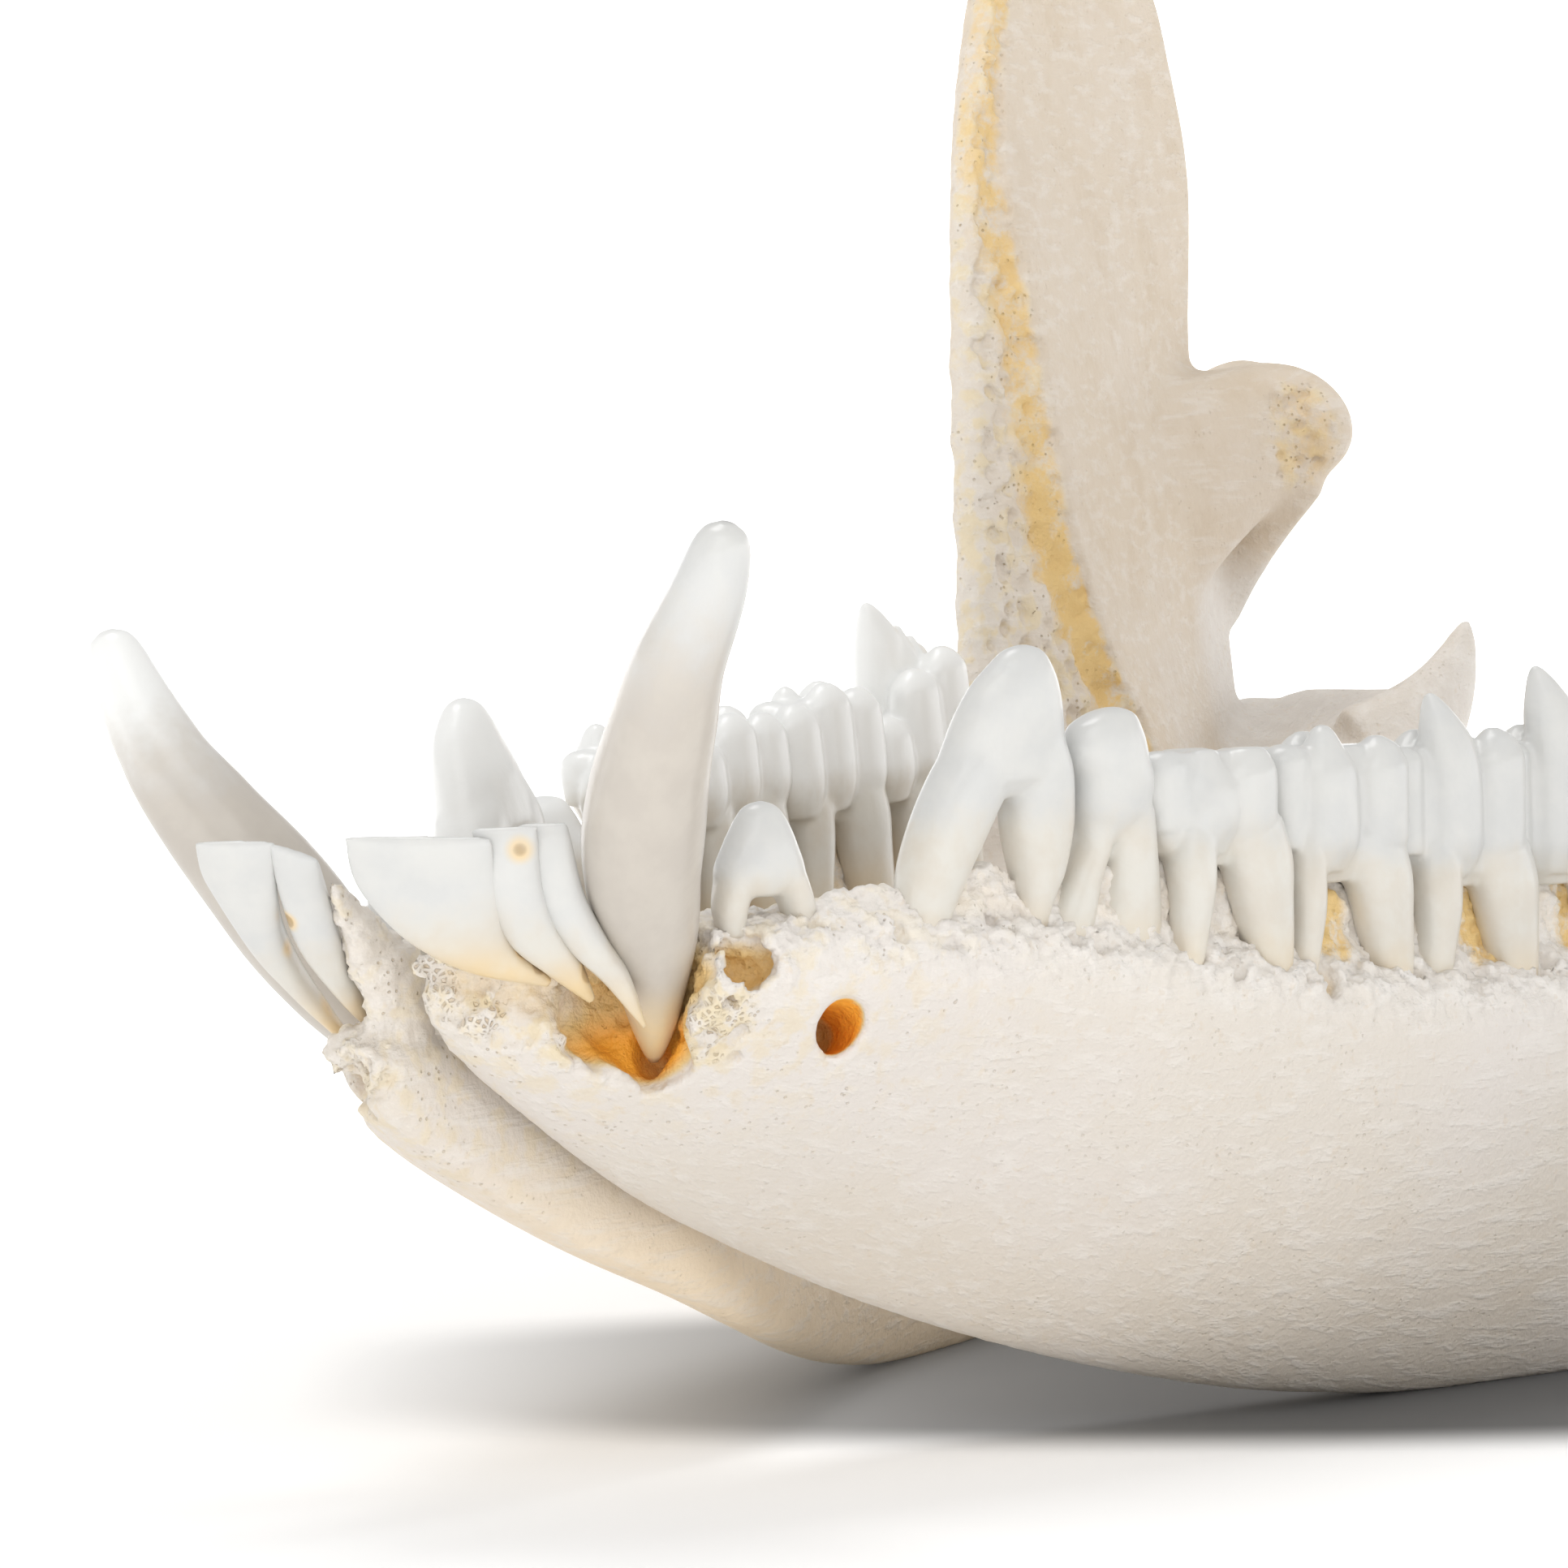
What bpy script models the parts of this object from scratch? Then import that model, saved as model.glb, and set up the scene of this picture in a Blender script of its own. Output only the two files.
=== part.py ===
"""Lower jaw of a Virginia opossum, life size: two jaw bones with teeth, and two canines in open sockets."""

import math
from bisect import bisect_right

import bmesh
import bpy
from mathutils import Euler, Matrix, Vector

# Sizes are in millimetres, and MM turns them into metres. Each half is modelled as the animal's left one,
# with X out from the plane between the halves, Y to the back and Z up, then mirrored for the right.
MM = 0.001

# Front and top of each bone, the gap kept between pieces, and how much of the belly rests on the floor
JAW_FRONT = -1.3
JAW_FOOT_BACK = 86.0
CORONOID_TOP = 58.0
CLEARANCE = 0.35
SYMPHYSIS = 0.38
REST_FLAT_DEPTH = 0.18

# How each half lies: turns in degrees about the pivot under its belly, then a shift
PIVOT = (17.0, 42.0, 0.0)
LEFT_TURN = (-1.7, -2.4, 1.0)
LEFT_SHIFT = (-0.3, -0.4)
RIGHT_TURN = (3.5, 2.0, 0.2)
RIGHT_SHIFT = (-0.4, 0.4)

# Body of the bone: borders, middle line and half thickness along Y
ALVEOLAR_EDGE = ((-1.3, 19.2), (0, 19.6), (5, 19.4), (10, 20.0), (18, 19.4), (28, 18.0), (36, 16.9),
                 (46, 16.4), (54, 17.0), (64, 17.5), (76, 18.6), (86, 20.6))
LOWER_EDGE = ((-1.3, 18.2), (0, 16.2), (5, 12.7), (10, 9.8), (15, 7.5), (20, 5.3), (25, 3.4), (30, 1.9),
              (36, 0.7), (44, 0.05), (53, 0.0), (60, 1.8), (68, 6.8), (76, 12.2), (86, 16.8))
MIDDLE_TOP = ((-1.3, 1.6), (0, 2.6), (5, 5.2), (10, 7.3), (15, 9.4), (20, 11.2), (28, 13.2), (34, 14.0),
              (46, 15.3), (54, 17.4), (70, 22.0), (86, 26.6))
MIDDLE_LOW = ((-1.3, 1.1), (5, 1.2), (10, 1.3), (15, 1.8), (20, 3.1), (25, 5.2), (30, 7.4), (36, 9.7),
              (44, 11.7), (50, 13.2), (60, 16.6), (70, 20.4), (86, 25.8))
HALF_THICKNESS = ((-1.3, 1.0), (0, 2.0), (5, 5.0), (10, 5.4), (15, 4.8), (20, 4.2), (30, 3.9), (40, 4.0),
                  (48, 3.8), (56, 3.0), (66, 2.2), (86, 1.8))
BODY_SQUARENESS = 2.5
SQUARENESS = 2.3
LOWER_SHARE = ((0, 0.30), (12, 0.34), (24, 0.52), (40, 0.62))
FULLNESS = 0.45
BODY_STATIONS = 34
BODY_SIDES = 16

# Ramus: its outer front crest, inner front ridge and rear edge, as X and Y at each height
CREST_X = ((8, 17.8), (20, 18.9), (32, 20.0), (42, 21.1), (52, 22.4), (58, 24.0))
CREST_Y = ((8, 52.0), (20, 54.8), (26, 56.8), (37, 59.2), (45, 61.8), (52, 65.6), (56, 69.6), (58, 73.6))
RIDGE_X = ((8, 17.2), (20, 17.6), (31, 18.2), (44, 20.4), (52, 22.6), (58, 24.6))
RIDGE_Y = ((8, 68.6), (20, 66.8), (25, 64.4), (31, 62.8), (44, 63.2), (52, 67.0), (56, 70.8), (58, 74.6))
REAR_X = ((8, 23.5), (20, 26.4), (36, 26.3), (48, 26.5), (58, 25.6))
REAR_Y = ((8, 80.0), (20, 84.8), (25, 84.6), (29, 85.4), (35, 83.2), (44, 84.5), (50, 83.4), (55, 80.4),
          (58, 76.4))
PLATE_THICKNESS = 1.9
CREST_FLARE = 1.7
RAMUS_FOOT = 8.0
RAMUS_STATIONS = 22
RAMUS_CROWDING = 1.4
INNER_SHARES = (0, 0.25, 0.5, 0.75, 0.95)
OUTER_SHARES = (0.95, 0.75, 0.5, 0.25, 0.05)

# Condyle, its neck, and the buttress under its inner end
CONDYLE_OUTER = (29.0, 87.2, 33.5)
CONDYLE_INNER = (21.2, 85.7, 31.9)
CONDYLE_RADIUS = ((0, 0.9), (0.12, 1.9), (0.3, 2.5), (0.7, 2.375), (0.9, 1.7), (1, 0.8))
CONDYLE_OVERHANG = 0.06
NECK_START = (24.6, 77.0, 29.8)
NECK_END = (24.8, 86.4, 32.7)
NECK_HALF_ACROSS = ((0, 1.1), (0.5, 1.9), (1, 3.8))
NECK_HALF_UP = ((0, 5.6), (1, 2.6))
NECK_STATIONS = 6
NECK_SIDES = 12
BUTTRESS_FOOT = (26.8, 84.0, 23.9)
BUTTRESS_BEND = (26.3, 84.7, 27.8)
BUTTRESS_TOP = (23.9, 85.8, 31.2)
BUTTRESS_HALF_ACROSS = ((0, 0.9), (0.5, 2.1), (1, 3.0))
BUTTRESS_HALF_DEEP = ((0, 0.8), (1, 1.3))

# Shelf that the angle of the jaw turns inwards, and its upturned point
SHELF_FRONT_Y = 64.0
SHELF_BACK_Y = 87.5
SHELF_INNER_X = ((64, 20.0), (70, 18.4), (78, 16.9), (84, 16.0), (88, 16.2))
SHELF_TOP_Z = ((64, 9.4), (70, 13.2), (78, 17.7), (84, 20.2), (88, 21.4))
SHELF_THICKNESS = 2.4
SHELF_SAG = 0.6
SHELF_OVERLAP = 0.3
SHELF_STATIONS = 12
SHELF_SIDES = 12
SHELF_SQUARENESS = 2.4
POINT_FOOT = (18.8, 82.6, 17.6)
POINT_BEND = (16.4, 86.2, 18.8)
POINT_TIP = (16.6, 88.5, 23.6)
POINT_HALF_LONG = ((0, 3.0), (0.4, 2.5), (0.7, 1.6), (0.9, 0.8), (1, 0.35))
POINT_HALF_THICK = ((0, 2.2), (0.4, 1.6), (0.75, 0.95), (1, 0.35))

# Open socket of the canine with the hollow before it, the rough pit behind it, and the foramina
HOLLOWS = (
    ((8.4, 2.8, 18.8), (3.8, 3.6, 4.2)),
    ((4.6, 0.8, 19.3), (1.7, 1.5, 1.2)),
    ((8.6, 7.3, 18.2), (1.3, 1.15, 1.25)),
)
CHIN_FORAMEN = (10.4, 10.8, 15.9)
CHIN_FORAMEN_RADII = (4.0, 0.85, 0.85)
JAW_FORAMEN = (20.4, 74.0, 18.0)
JAW_FORAMEN_RADII = (1.6, 4.0, 1.3)

# Fusing of the bone: voxel, rounds of smoothing and the share of faces that stays
BONE_VOXEL = 0.62
BONE_SMOOTHING = 6
BONE_FACES = 3400

# Colour and roughness of the two finishes, and the angle over which an edge is sharp
BONE_FINISH = ((0.83, 0.76, 0.65), 0.6)
ENAMEL_FINISH = ((0.86, 0.85, 0.81), 0.25)
SHARP_ANGLE = 50

# Canine: its middle line and its radius at each height, from the root's end to the tip
CANINE_X = ((13.6, 4.1), (16, 5.0), (19.2, 6.2), (21.6, 7.1), (24.1, 8.3), (26.5, 9.8), (28.8, 11.2),
            (31, 12.5), (33.4, 13.5))
CANINE_Y = ((13.6, 7.6), (16, 6.6), (19.2, 5.1), (21.6, 3.7), (24.1, 2.6), (26.5, 1.7), (28.8, 1.1),
            (33.4, 1.0))
CANINE_RADIUS = ((13.6, 0.8), (15, 1.3), (19, 2.15), (23, 2.25), (26.5, 1.9), (29, 1.5), (31.5, 1.08),
                 (32.8, 0.8), (33.4, 0.35))
CANINE_LEVELS = (13.6, 14.6, 16, 18, 20, 22, 24, 26, 28, 30, 31.6, 32.7, 33.4)
CANINE_FLATNESS = 0.93
CANINE_SIDES = 12

# Tooth row in plan, how high the thin ridge of bone between the roots stands over the bone's edge, and how
# much higher the crowns and that ridge are on the right, growing from the third premolar back
ROW_X = ((5, 6.7), (10, 8.6), (14, 10.2), (18, 11.3), (23, 12.5), (28, 13.4), (34, 14.1), (40, 14.6),
         (50, 15.5))
ROOT_RIDGE = ((10, 0.1), (11.3, 0.7), (14, 0.9), (16, 1.6), (18, 1.9), (19.5, 0.9), (22.5, 2.4),
              (27, 3.0), (50, 3.3))
RIDGE_HALF_THICK = 0.75
RIDGE_SUNK = 0.5
RIDGE_FRONT = 10.0
RIDGE_STATIONS = 40
RIDGE_SIDES = 8
RIGHT_LIFT = 1.9
LIFT_START = 19.0
LIFT_GROWTH = 4.0

# Premolars: place along Y, then the crown and its two legs, each as stations of rise over the bone's edge,
# place along the row, place outwards, half length and half width
PREMOLARS = (
    (8.9, ((0.5, -0.2, 0, 0.8, 0.6), (1.3, -0.2, 0, 1.75, 1.0), (2.25, -0.15, 0, 1.4, 0.95),
           (3.2, -0.1, 0, 0.92, 0.7), (3.78, -0.1, 0, 0.3, 0.25)),
     ((-0.9, -1.3, 0, 0.4, 0.5), (0, -1.4, 0, 0.6, 0.7), (1.3, -1.1, 0, 0.75, 0.85)),
     ((-2, 1.6, 0, 0.4, 0.5), (0, 1.3, 0, 0.62, 0.7), (1.2, 0.85, 0, 0.7, 0.85))),
    (17.0, ((3.9, 1.1, 0.2, 0.9, 0.6), (4.7, 1.05, 0.3, 2.75, 1.35), (6.26, 1.09, 0.6, 2.35, 1.35),
            (7.7, 1.21, 0.95, 1.85, 1.05), (8.65, 1.42, 1.1, 1.15, 0.75), (9.22, 1.47, 1.17, 0.4, 0.3)),
     ((-2.8, -2.9, 0, 0.7, 0.7), (0, -2.3, 0, 1.06, 0.95), (3.1, -1.07, 0.1, 1.6, 1.25),
      (6.2, 0.6, 0.55, 1.5, 1.2)),
     ((-2.8, 2.2, 0, 0.4, 0.5), (0, 2.5, 0, 0.65, 0.8), (3.1, 2.75, 0.1, 1.4, 1.2),
      (6.2, 2.2, 0.55, 1.1, 1.1))),
    (22.7, ((2.9, 0.3, 0, 0.9, 0.7), (3.9, 0.2, 0.15, 1.6, 1.2), (6.0, -0.25, 0.45, 1.78, 1.2),
            (6.9, -0.3, 0.55, 1.5, 1.0), (7.6, 0, 0.6, 0.6, 0.45)),
     ((-2.8, -2.4, 0, 0.5, 0.5), (0, -1.7, 0, 0.95, 0.8), (2.7, -0.6, 0, 0.72, 0.85),
      (4.0, -0.2, 0.1, 1.1, 1.0)),
     ((-2.8, 1.2, 0, 0.8, 0.7), (0, 1.15, 0, 1.25, 0.95), (2.7, 1.15, 0, 1.05, 1.05),
      (4.0, 0.9, 0.1, 1.1, 1.1))),
)
RIGHT_THIRD_PREMOLAR = 0.75

# Molars: place along Y, middle of the crown along the row, rise of the tall outer cusp, the front shelf and
# the rear cusp, place of the rear cusp along the row, and place, half length and half width of the two roots
MOLARS = {
    "left": (
        (27.4, -0.3, 6.75, 6.6, 6.7, 1.6, (-1.35, 0.82, 0.85), (2.15, 1.4, 0.95)),
        (33.7, 0.4, 8.25, 7.6, 7.75, 2.5, (-1.7, 0.68, 0.7), (2.5, 1.35, 0.95)),
        (40.2, 0.6, 9.7, 7.8, 8.3, 2.9, (-0.75, 0.95, 0.8), (3.3, 1.45, 1.0)),
        (46.5, 0.9, 10.7, 8.0, 8.4, 2.9, (1.9, 0.7, 0.7), (3.9, 0.8, 0.9)),
    ),
    "right": (
        (27.4, 0.0, 8.6, 7.8, 8.2, 1.8, (-1.4, 0.85, 0.85), (1.9, 1.25, 0.95)),
        (33.7, 0.2, 9.2, 8.4, 9.1, 2.3, (-1.4, 0.85, 0.85), (2.1, 1.25, 0.95)),
        (40.2, 0.2, 9.9, 9.5, 9.8, 2.2, (-1.2, 0.95, 0.85), (2.4, 1.3, 1.0)),
        (46.5, 0.6, 12.7, 8.4, 10.9, 2.3, (-0.6, 0.8, 0.85), (2.6, 1.2, 1.0)),
    ),
}
CROWN_SIDES = 8
COLUMN_SIDES = 6

# Body of a molar's crown: place outwards, half length and half width of each ring, whose rise counts from the
# bone's edge for the lower two and from the lower of shelf and rear cusp for the upper two
CROWN_FOOT = ((2.5, 0.2, 1.5, 0.7), (3.2, 0.3, 2.4, 1.05))
CROWN_BROW = ((-1.3, 0.25, 2.9, 1.2), (-0.15, 0.2, 2.6, 0.85))

# Cusps of a molar: rise of their foot, then rings by rise from the tip, with shares of the lean, the half
# size along the row and the half size across it; the tall cusp's place and lean, towering over the shelf or not
CUSP_FOOT = (3.6, 0.8, 0.6)
CUSP_RINGS = ((-1.2, 0.0, 0.95, 0.7), (-0.3, 0.7, 0.5, 0.42), (0.0, 1.0, 0.18, 0.18))
TOWERING = 1.5
TOWERING_CUSP = (0.2, -0.8)
LEVEL_CUSP = (-0.4, 0.0)

# Roots of a molar: each ring's rise, spread away from the tooth's middle, share of the place outwards, and
# shares of the half length and half width
ROOT_END = (-3.2, 0.7, 0.7, 0.45, 0.6)
ROOT_WAIST = (0.0, 0.25, 1.0, 0.8, 0.9)
ROOT_TOP = (4.0, -0.35, 0.5, 1.3, 1.2)
ROOTS_OUT = {"left": 0.8, "right": -0.64}

# Incisors: left and right border of each flat blade, from the end of its root up, and its half thickness
INCISORS = {
    "left": (
        (((5.0, 4.4, 16.2), (4.2, 2.0, 17.7), (1.4, -2.1, 19.6), (0.6, -3.6, 21.6), (0.9, -4.4, 23.1)),
         ((5.1, 4.5, 16.4), (4.3, 2.1, 18.0), (4.1, 0.1, 20.7), (4.3, -0.6, 21.7), (4.7, -1.2, 22.9))),
        (((5.3, 5.0, 15.4), (5.1, 3.1, 17.1), (3.9, 0.4, 19.3), (3.7, -0.5, 21.0), (3.8, -1.3, 22.9)),
         ((5.5, 5.1, 15.6), (5.3, 3.2, 17.3), (5.1, 1.4, 20.1), (5.2, 0.7, 21.4), (5.5, 0.2, 22.95))),
        (((6.2, 5.6, 14.4), (6.5, 4.2, 16.2), (5.1, 1.8, 19.3), (4.6, 0.8, 21.1), (4.6, 0.1, 23.2)),
         ((6.6, 5.7, 14.6), (6.8, 4.3, 16.3), (6.3, 2.8, 19.2), (6.0, 1.8, 21.2), (6.0, 1.2, 23.2))),
    ),
    "right": (
        (((3.6, 3.2, 17.0), (3.8, 0.9, 18.9), (4.5, -2.6, 23.2), (4.5, -4.2, 25.2), (3.9, -5.3, 26.7)),
         ((3.3, 3.4, 17.2), (3.5, 1.2, 19.1), (3.3, -1.8, 22.8), (2.6, -2.8, 24.5), (1.7, -3.6, 26.5))),
        (((2.7, 3.4, 17.4), (2.7, 1.4, 19.2), (2.9, -1.7, 22.7), (2.5, -2.8, 24.5), (1.9, -3.8, 26.5)),
         ((2.4, 3.5, 17.5), (2.5, 1.5, 19.3), (1.7, -0.8, 22.7), (1.2, -1.8, 24.4), (0.6, -2.8, 25.8))),
    ),
}
INCISOR_HALF_DEEP = ((0, 0.4), (0.3, 0.6), (0.6, 0.7), (0.85, 0.5), (1, 0.2))
INCISOR_RINGS = 6

# Blade of bone that stands up between the front teeth, on the right half only
BLADE_FOOT = (1.4, 2.4, 19.6)
BLADE_BEND = (1.2, -0.4, 22.6)
BLADE_TIP = (0.9, -2.4, 25.6)
BLADE_HALF_THICK = ((0, 1.0), (0.4, 0.8), (0.7, 0.5), (1, 0.25))
BLADE_HALF_DEEP = ((0, 1.9), (0.3, 1.5), (0.6, 0.9), (0.85, 0.4), (1, 0.2))


def track(points):
    """Return a smooth function through (position, value) points, level past both ends."""
    spots = [float(spot) for spot, _ in points]
    values = [float(value) for _, value in points]
    steps = [(values[i + 1] - values[i]) / (spots[i + 1] - spots[i]) for i in range(len(points) - 1)]
    inner = [2 * a * b / (a + b) if a * b > 0 else 0.0 for a, b in zip(steps, steps[1:])]
    slopes = [steps[0]] + inner + [steps[-1]]

    def value_at(spot):
        if spot <= spots[0]:
            return values[0]
        if spot >= spots[-1]:
            return values[-1]
        i = bisect_right(spots, spot) - 1
        span = spots[i + 1] - spots[i]
        t = (spot - spots[i]) / span
        rise = slopes[i] * span * t * (1 - t) ** 2 - slopes[i + 1] * span * t * t * (1 - t)
        return values[i] + (values[i + 1] - values[i]) * t * t * (3 - 2 * t) + rise

    return value_at


def material(name, colour, roughness):
    """Make a Principled material of one colour."""
    finish = bpy.data.materials.new(name)
    finish.use_nodes = True
    shader = finish.node_tree.nodes["Principled BSDF"]
    shader.inputs["Base Color"].default_value = (*colour, 1.0)
    shader.inputs["Roughness"].default_value = roughness
    shader.inputs["Metallic"].default_value = 0.0
    return finish


def add_object(name, bm, collection):
    """Turn a bmesh into an object of a collection, with its faces pointing out."""
    bmesh.ops.recalc_face_normals(bm, faces=bm.faces)
    mesh = bpy.data.meshes.new(name)
    bm.to_mesh(mesh)
    bm.free()
    obj = bpy.data.objects.new(name, mesh)
    collection.objects.link(obj)
    return obj


def loft(name, rings, collection):
    """Skin a row of closed rings, all with the same number of points in millimetres, and cap both ends."""
    bm = bmesh.new()
    loops = [[bm.verts.new(Vector(point) * MM) for point in ring] for ring in rings]
    for ring, following in zip(loops, loops[1:]):
        for i, vert in enumerate(ring):
            j = (i + 1) % len(ring)
            bm.faces.new((vert, ring[j], following[j], following[i]))
    bm.faces.new(loops[0])
    bm.faces.new(loops[-1])
    return add_object(name, bm, collection)


def bezier(start, bend, end, t):
    """Point at t on the curve from start to end that leans towards bend."""
    return Vector(start) * (1 - t) ** 2 + Vector(bend) * 2 * t * (1 - t) + Vector(end) * t * t


def horn(name, start, bend, end, long_radius, side_radius, collection, sides=8, rings=6, out=(1, 0, 0)):
    """A curved horn: its ellipse across `out` and across its own length follows the two radius tracks."""
    long_at, side_at = track(long_radius), track(side_radius)
    sections = []
    for i in range(rings + 1):
        t = i / rings
        centre = bezier(start, bend, end, t)
        along = (bezier(start, bend, end, t + 0.01) - bezier(start, bend, end, t - 0.01)).normalized()
        side = (Vector(out) - along * Vector(out).dot(along)).normalized()
        front = along.cross(side)
        turns = [2 * math.pi * k / sides for k in range(sides)]
        sections.append([centre + side * side_at(t) * math.cos(a) + front * long_at(t) * math.sin(a)
                         for a in turns])
    return loft(name, sections, collection)


def squared(angle, squareness):
    """Unit squared-off ellipse at an angle, as across and up."""
    power = 2 / squareness
    across = math.copysign(abs(math.cos(angle)) ** power, math.cos(angle))
    up = math.copysign(abs(math.sin(angle)) ** power, math.sin(angle))
    return across, up


def jaw_body(collection):
    """Body of the jaw bone, from the flat joint face at the front to the thin foot of the ramus."""
    top, low = track(ALVEOLAR_EDGE), track(LOWER_EDGE)
    middle_top, middle_low, half = track(MIDDLE_TOP), track(MIDDLE_LOW), track(HALF_THICKNESS)
    low_share = track(LOWER_SHARE)
    rings = []
    for i in range(BODY_STATIONS + 1):
        y = JAW_FRONT + (JAW_FOOT_BACK - JAW_FRONT) * i / BODY_STATIONS
        ring = []
        for k in range(BODY_SIDES):
            across, up = squared(2 * math.pi * k / BODY_SIDES, BODY_SQUARENESS)
            share = (up + 1) / 2
            x = middle_low(y) + (middle_top(y) - middle_low(y)) * share
            x += across * half(y) * (low_share(y) + (1 - low_share(y)) * share ** FULLNESS)
            ring.append((max(x, SYMPHYSIS), y, low(y) + (top(y) - low(y)) * share))
        rings.append(ring)
    return loft("body", rings, collection)


def ramus(collection):
    """Thin upright plate with a thick outer crest in front and a shallow hollow on its outer face."""
    crest_x, crest_y = track(CREST_X), track(CREST_Y)
    ridge_x, ridge_y = track(RIDGE_X), track(RIDGE_Y)
    rear_x, rear_y = track(REAR_X), track(REAR_Y)
    rings = []
    for i in range(RAMUS_STATIONS + 1):
        z = RAMUS_FOOT + (CORONOID_TOP - RAMUS_FOOT) * (1 - (1 - i / RAMUS_STATIONS) ** RAMUS_CROWDING)
        crest = Vector((crest_x(z), crest_y(z), z))
        ridge = Vector((ridge_x(z), ridge_y(z), z))
        rear = Vector((rear_x(z), rear_y(z), z))
        out = Vector((rear.y - ridge.y, ridge.x - rear.x, 0)).normalized()
        inner = [ridge.lerp(rear, t) for t in INNER_SHARES]
        outer = [ridge.lerp(rear, t) + out * PLATE_THICKNESS for t in OUTER_SHARES]
        tip = rear + out * PLATE_THICKNESS / 2
        flare = crest + out * CREST_FLARE * 0.5
        front = crest - out * CREST_FLARE * 0.3
        hollow = crest.lerp(ridge, 0.55) + out * (CREST_FLARE + 0.2)
        rings.append([front, crest.lerp(ridge, 0.5)] + inner + [tip] + outer + [hollow, flare])
    return loft("ramus", rings, collection)


def condyle(collection):
    """Barrel across the top of the neck, the neck that carries it, and the buttress under its inner end."""
    inner, outer = Vector(CONDYLE_INNER), Vector(CONDYLE_OUTER)
    reach = (outer - inner) * CONDYLE_OVERHANG
    horn("condyle", inner - reach, (inner + outer) / 2, outer + reach, CONDYLE_RADIUS, CONDYLE_RADIUS,
         collection, sides=12, rings=9, out=(0, 0, 1))
    across_at, up_at = track(NECK_HALF_ACROSS), track(NECK_HALF_UP)
    sections = []
    for i in range(NECK_STATIONS + 1):
        t = i / NECK_STATIONS
        centre = Vector(NECK_START).lerp(Vector(NECK_END), t)
        ring = [squared(2 * math.pi * k / NECK_SIDES, SQUARENESS) for k in range(NECK_SIDES)]
        sections.append([centre + Vector((a * across_at(t), 0, u * up_at(t))) for a, u in ring])
    loft("neck", sections, collection)
    horn("buttress", BUTTRESS_FOOT, BUTTRESS_BEND, BUTTRESS_TOP, BUTTRESS_HALF_DEEP, BUTTRESS_HALF_ACROSS,
         collection)


def angle_shelf(collection):
    """Shelf turned inwards from the lower rear edge, with its upturned point."""
    inner_x, top_z = track(SHELF_INNER_X), track(SHELF_TOP_Z)
    outer_x = track(MIDDLE_LOW)
    rings = []
    for i in range(SHELF_STATIONS + 1):
        y = SHELF_FRONT_Y + (SHELF_BACK_Y - SHELF_FRONT_Y) * i / SHELF_STATIONS
        middle = (inner_x(y) + outer_x(y)) / 2
        half_across = (outer_x(y) - inner_x(y)) / 2 + SHELF_OVERLAP
        ring = []
        for k in range(SHELF_SIDES):
            across, up = squared(2 * math.pi * k / SHELF_SIDES, SHELF_SQUARENESS)
            sag = SHELF_SAG * (1 - across * across)
            ring.append((middle + across * half_across, y, top_z(y) - SHELF_THICKNESS / 2 - sag
                         + up * SHELF_THICKNESS / 2))
        rings.append(ring)
    loft("shelf", rings, collection)
    horn("point", POINT_FOOT, POINT_BEND, POINT_TIP, POINT_HALF_LONG, POINT_HALF_THICK, collection)


def root_ridge(lift, collection):
    """Thin ridge of bone that stands up between the roots, higher from the third premolar back by a lift."""
    edge, row, ridge = track(ALVEOLAR_EDGE), track(ROW_X), track(ROOT_RIDGE)
    turns = [2 * math.pi * k / RIDGE_SIDES for k in range(RIDGE_SIDES)]
    rings = []
    for i in range(RIDGE_STATIONS + 1):
        y = RIDGE_FRONT + i
        high = ridge(y) + lift * min(1.0, max(0.0, (y - LIFT_START) / LIFT_GROWTH)) + RIDGE_SUNK
        rings.append([(row(y) + RIDGE_HALF_THICK * math.cos(a), y, edge(y) - RIDGE_SUNK + high * math.sin(a))
                      for a in turns])
    loft("ridge", rings, collection)


def thread(points):
    """Return a smooth line in space, from 0 to 1, through points."""
    ways = [track([(k / (len(points) - 1), point[i]) for k, point in enumerate(points)]) for i in range(3)]
    return lambda t: Vector([way(t) for way in ways])


def incisor(left_border, right_border, collection):
    """One of the long flat front teeth, a blade between two borders."""
    left, right, deep = thread(left_border), thread(right_border), track(INCISOR_HALF_DEEP)
    sections = []
    for i in range(INCISOR_RINGS + 1):
        t = i / INCISOR_RINGS
        centre, across = (left(t) + right(t)) / 2, (right(t) - left(t)) / 2
        low, high = max(t - 0.05, 0), min(t + 0.05, 1)
        front = (left(high) + right(high) - left(low) - right(low)).cross(across).normalized()
        ring = [squared(2 * math.pi * k / CROWN_SIDES, SQUARENESS) for k in range(CROWN_SIDES)]
        sections.append([centre + across * a + front * b * deep(t) for a, b in ring])
    loft("incisor", sections, collection)


def row_frame(y):
    """Spot on the bone's edge under the tooth row, with the directions along the row and out from it."""
    row, edge = track(ROW_X), track(ALVEOLAR_EDGE)
    along = Vector((row(y + 1) - row(y - 1), 2.0, 0)).normalized()
    return Vector((row(y), y, edge(y))), along, Vector((along.y, -along.x, 0))


def column(spot, along, out, stations, collection, sides=COLUMN_SIDES):
    """A tapering column of a tooth with one ring at each station."""
    rings = []
    for rise, ahead, outward, half_long, half_side in stations:
        centre = spot + Vector((0, 0, rise)) + along * ahead + out * outward
        ring = [squared(2 * math.pi * (k + 0.5) / sides, SQUARENESS) for k in range(sides)]
        rings.append([centre + along * a * half_long + out * b * half_side for a, b in ring])
    loft("column", rings, collection)


def premolar(y, columns, share, collection):
    """Blade-like crown on two legs, its rises a share of the full ones."""
    for stations in columns:
        column(*row_frame(y), [(rise * share, *rest) for rise, *rest in stations], collection, CROWN_SIDES)


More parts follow.
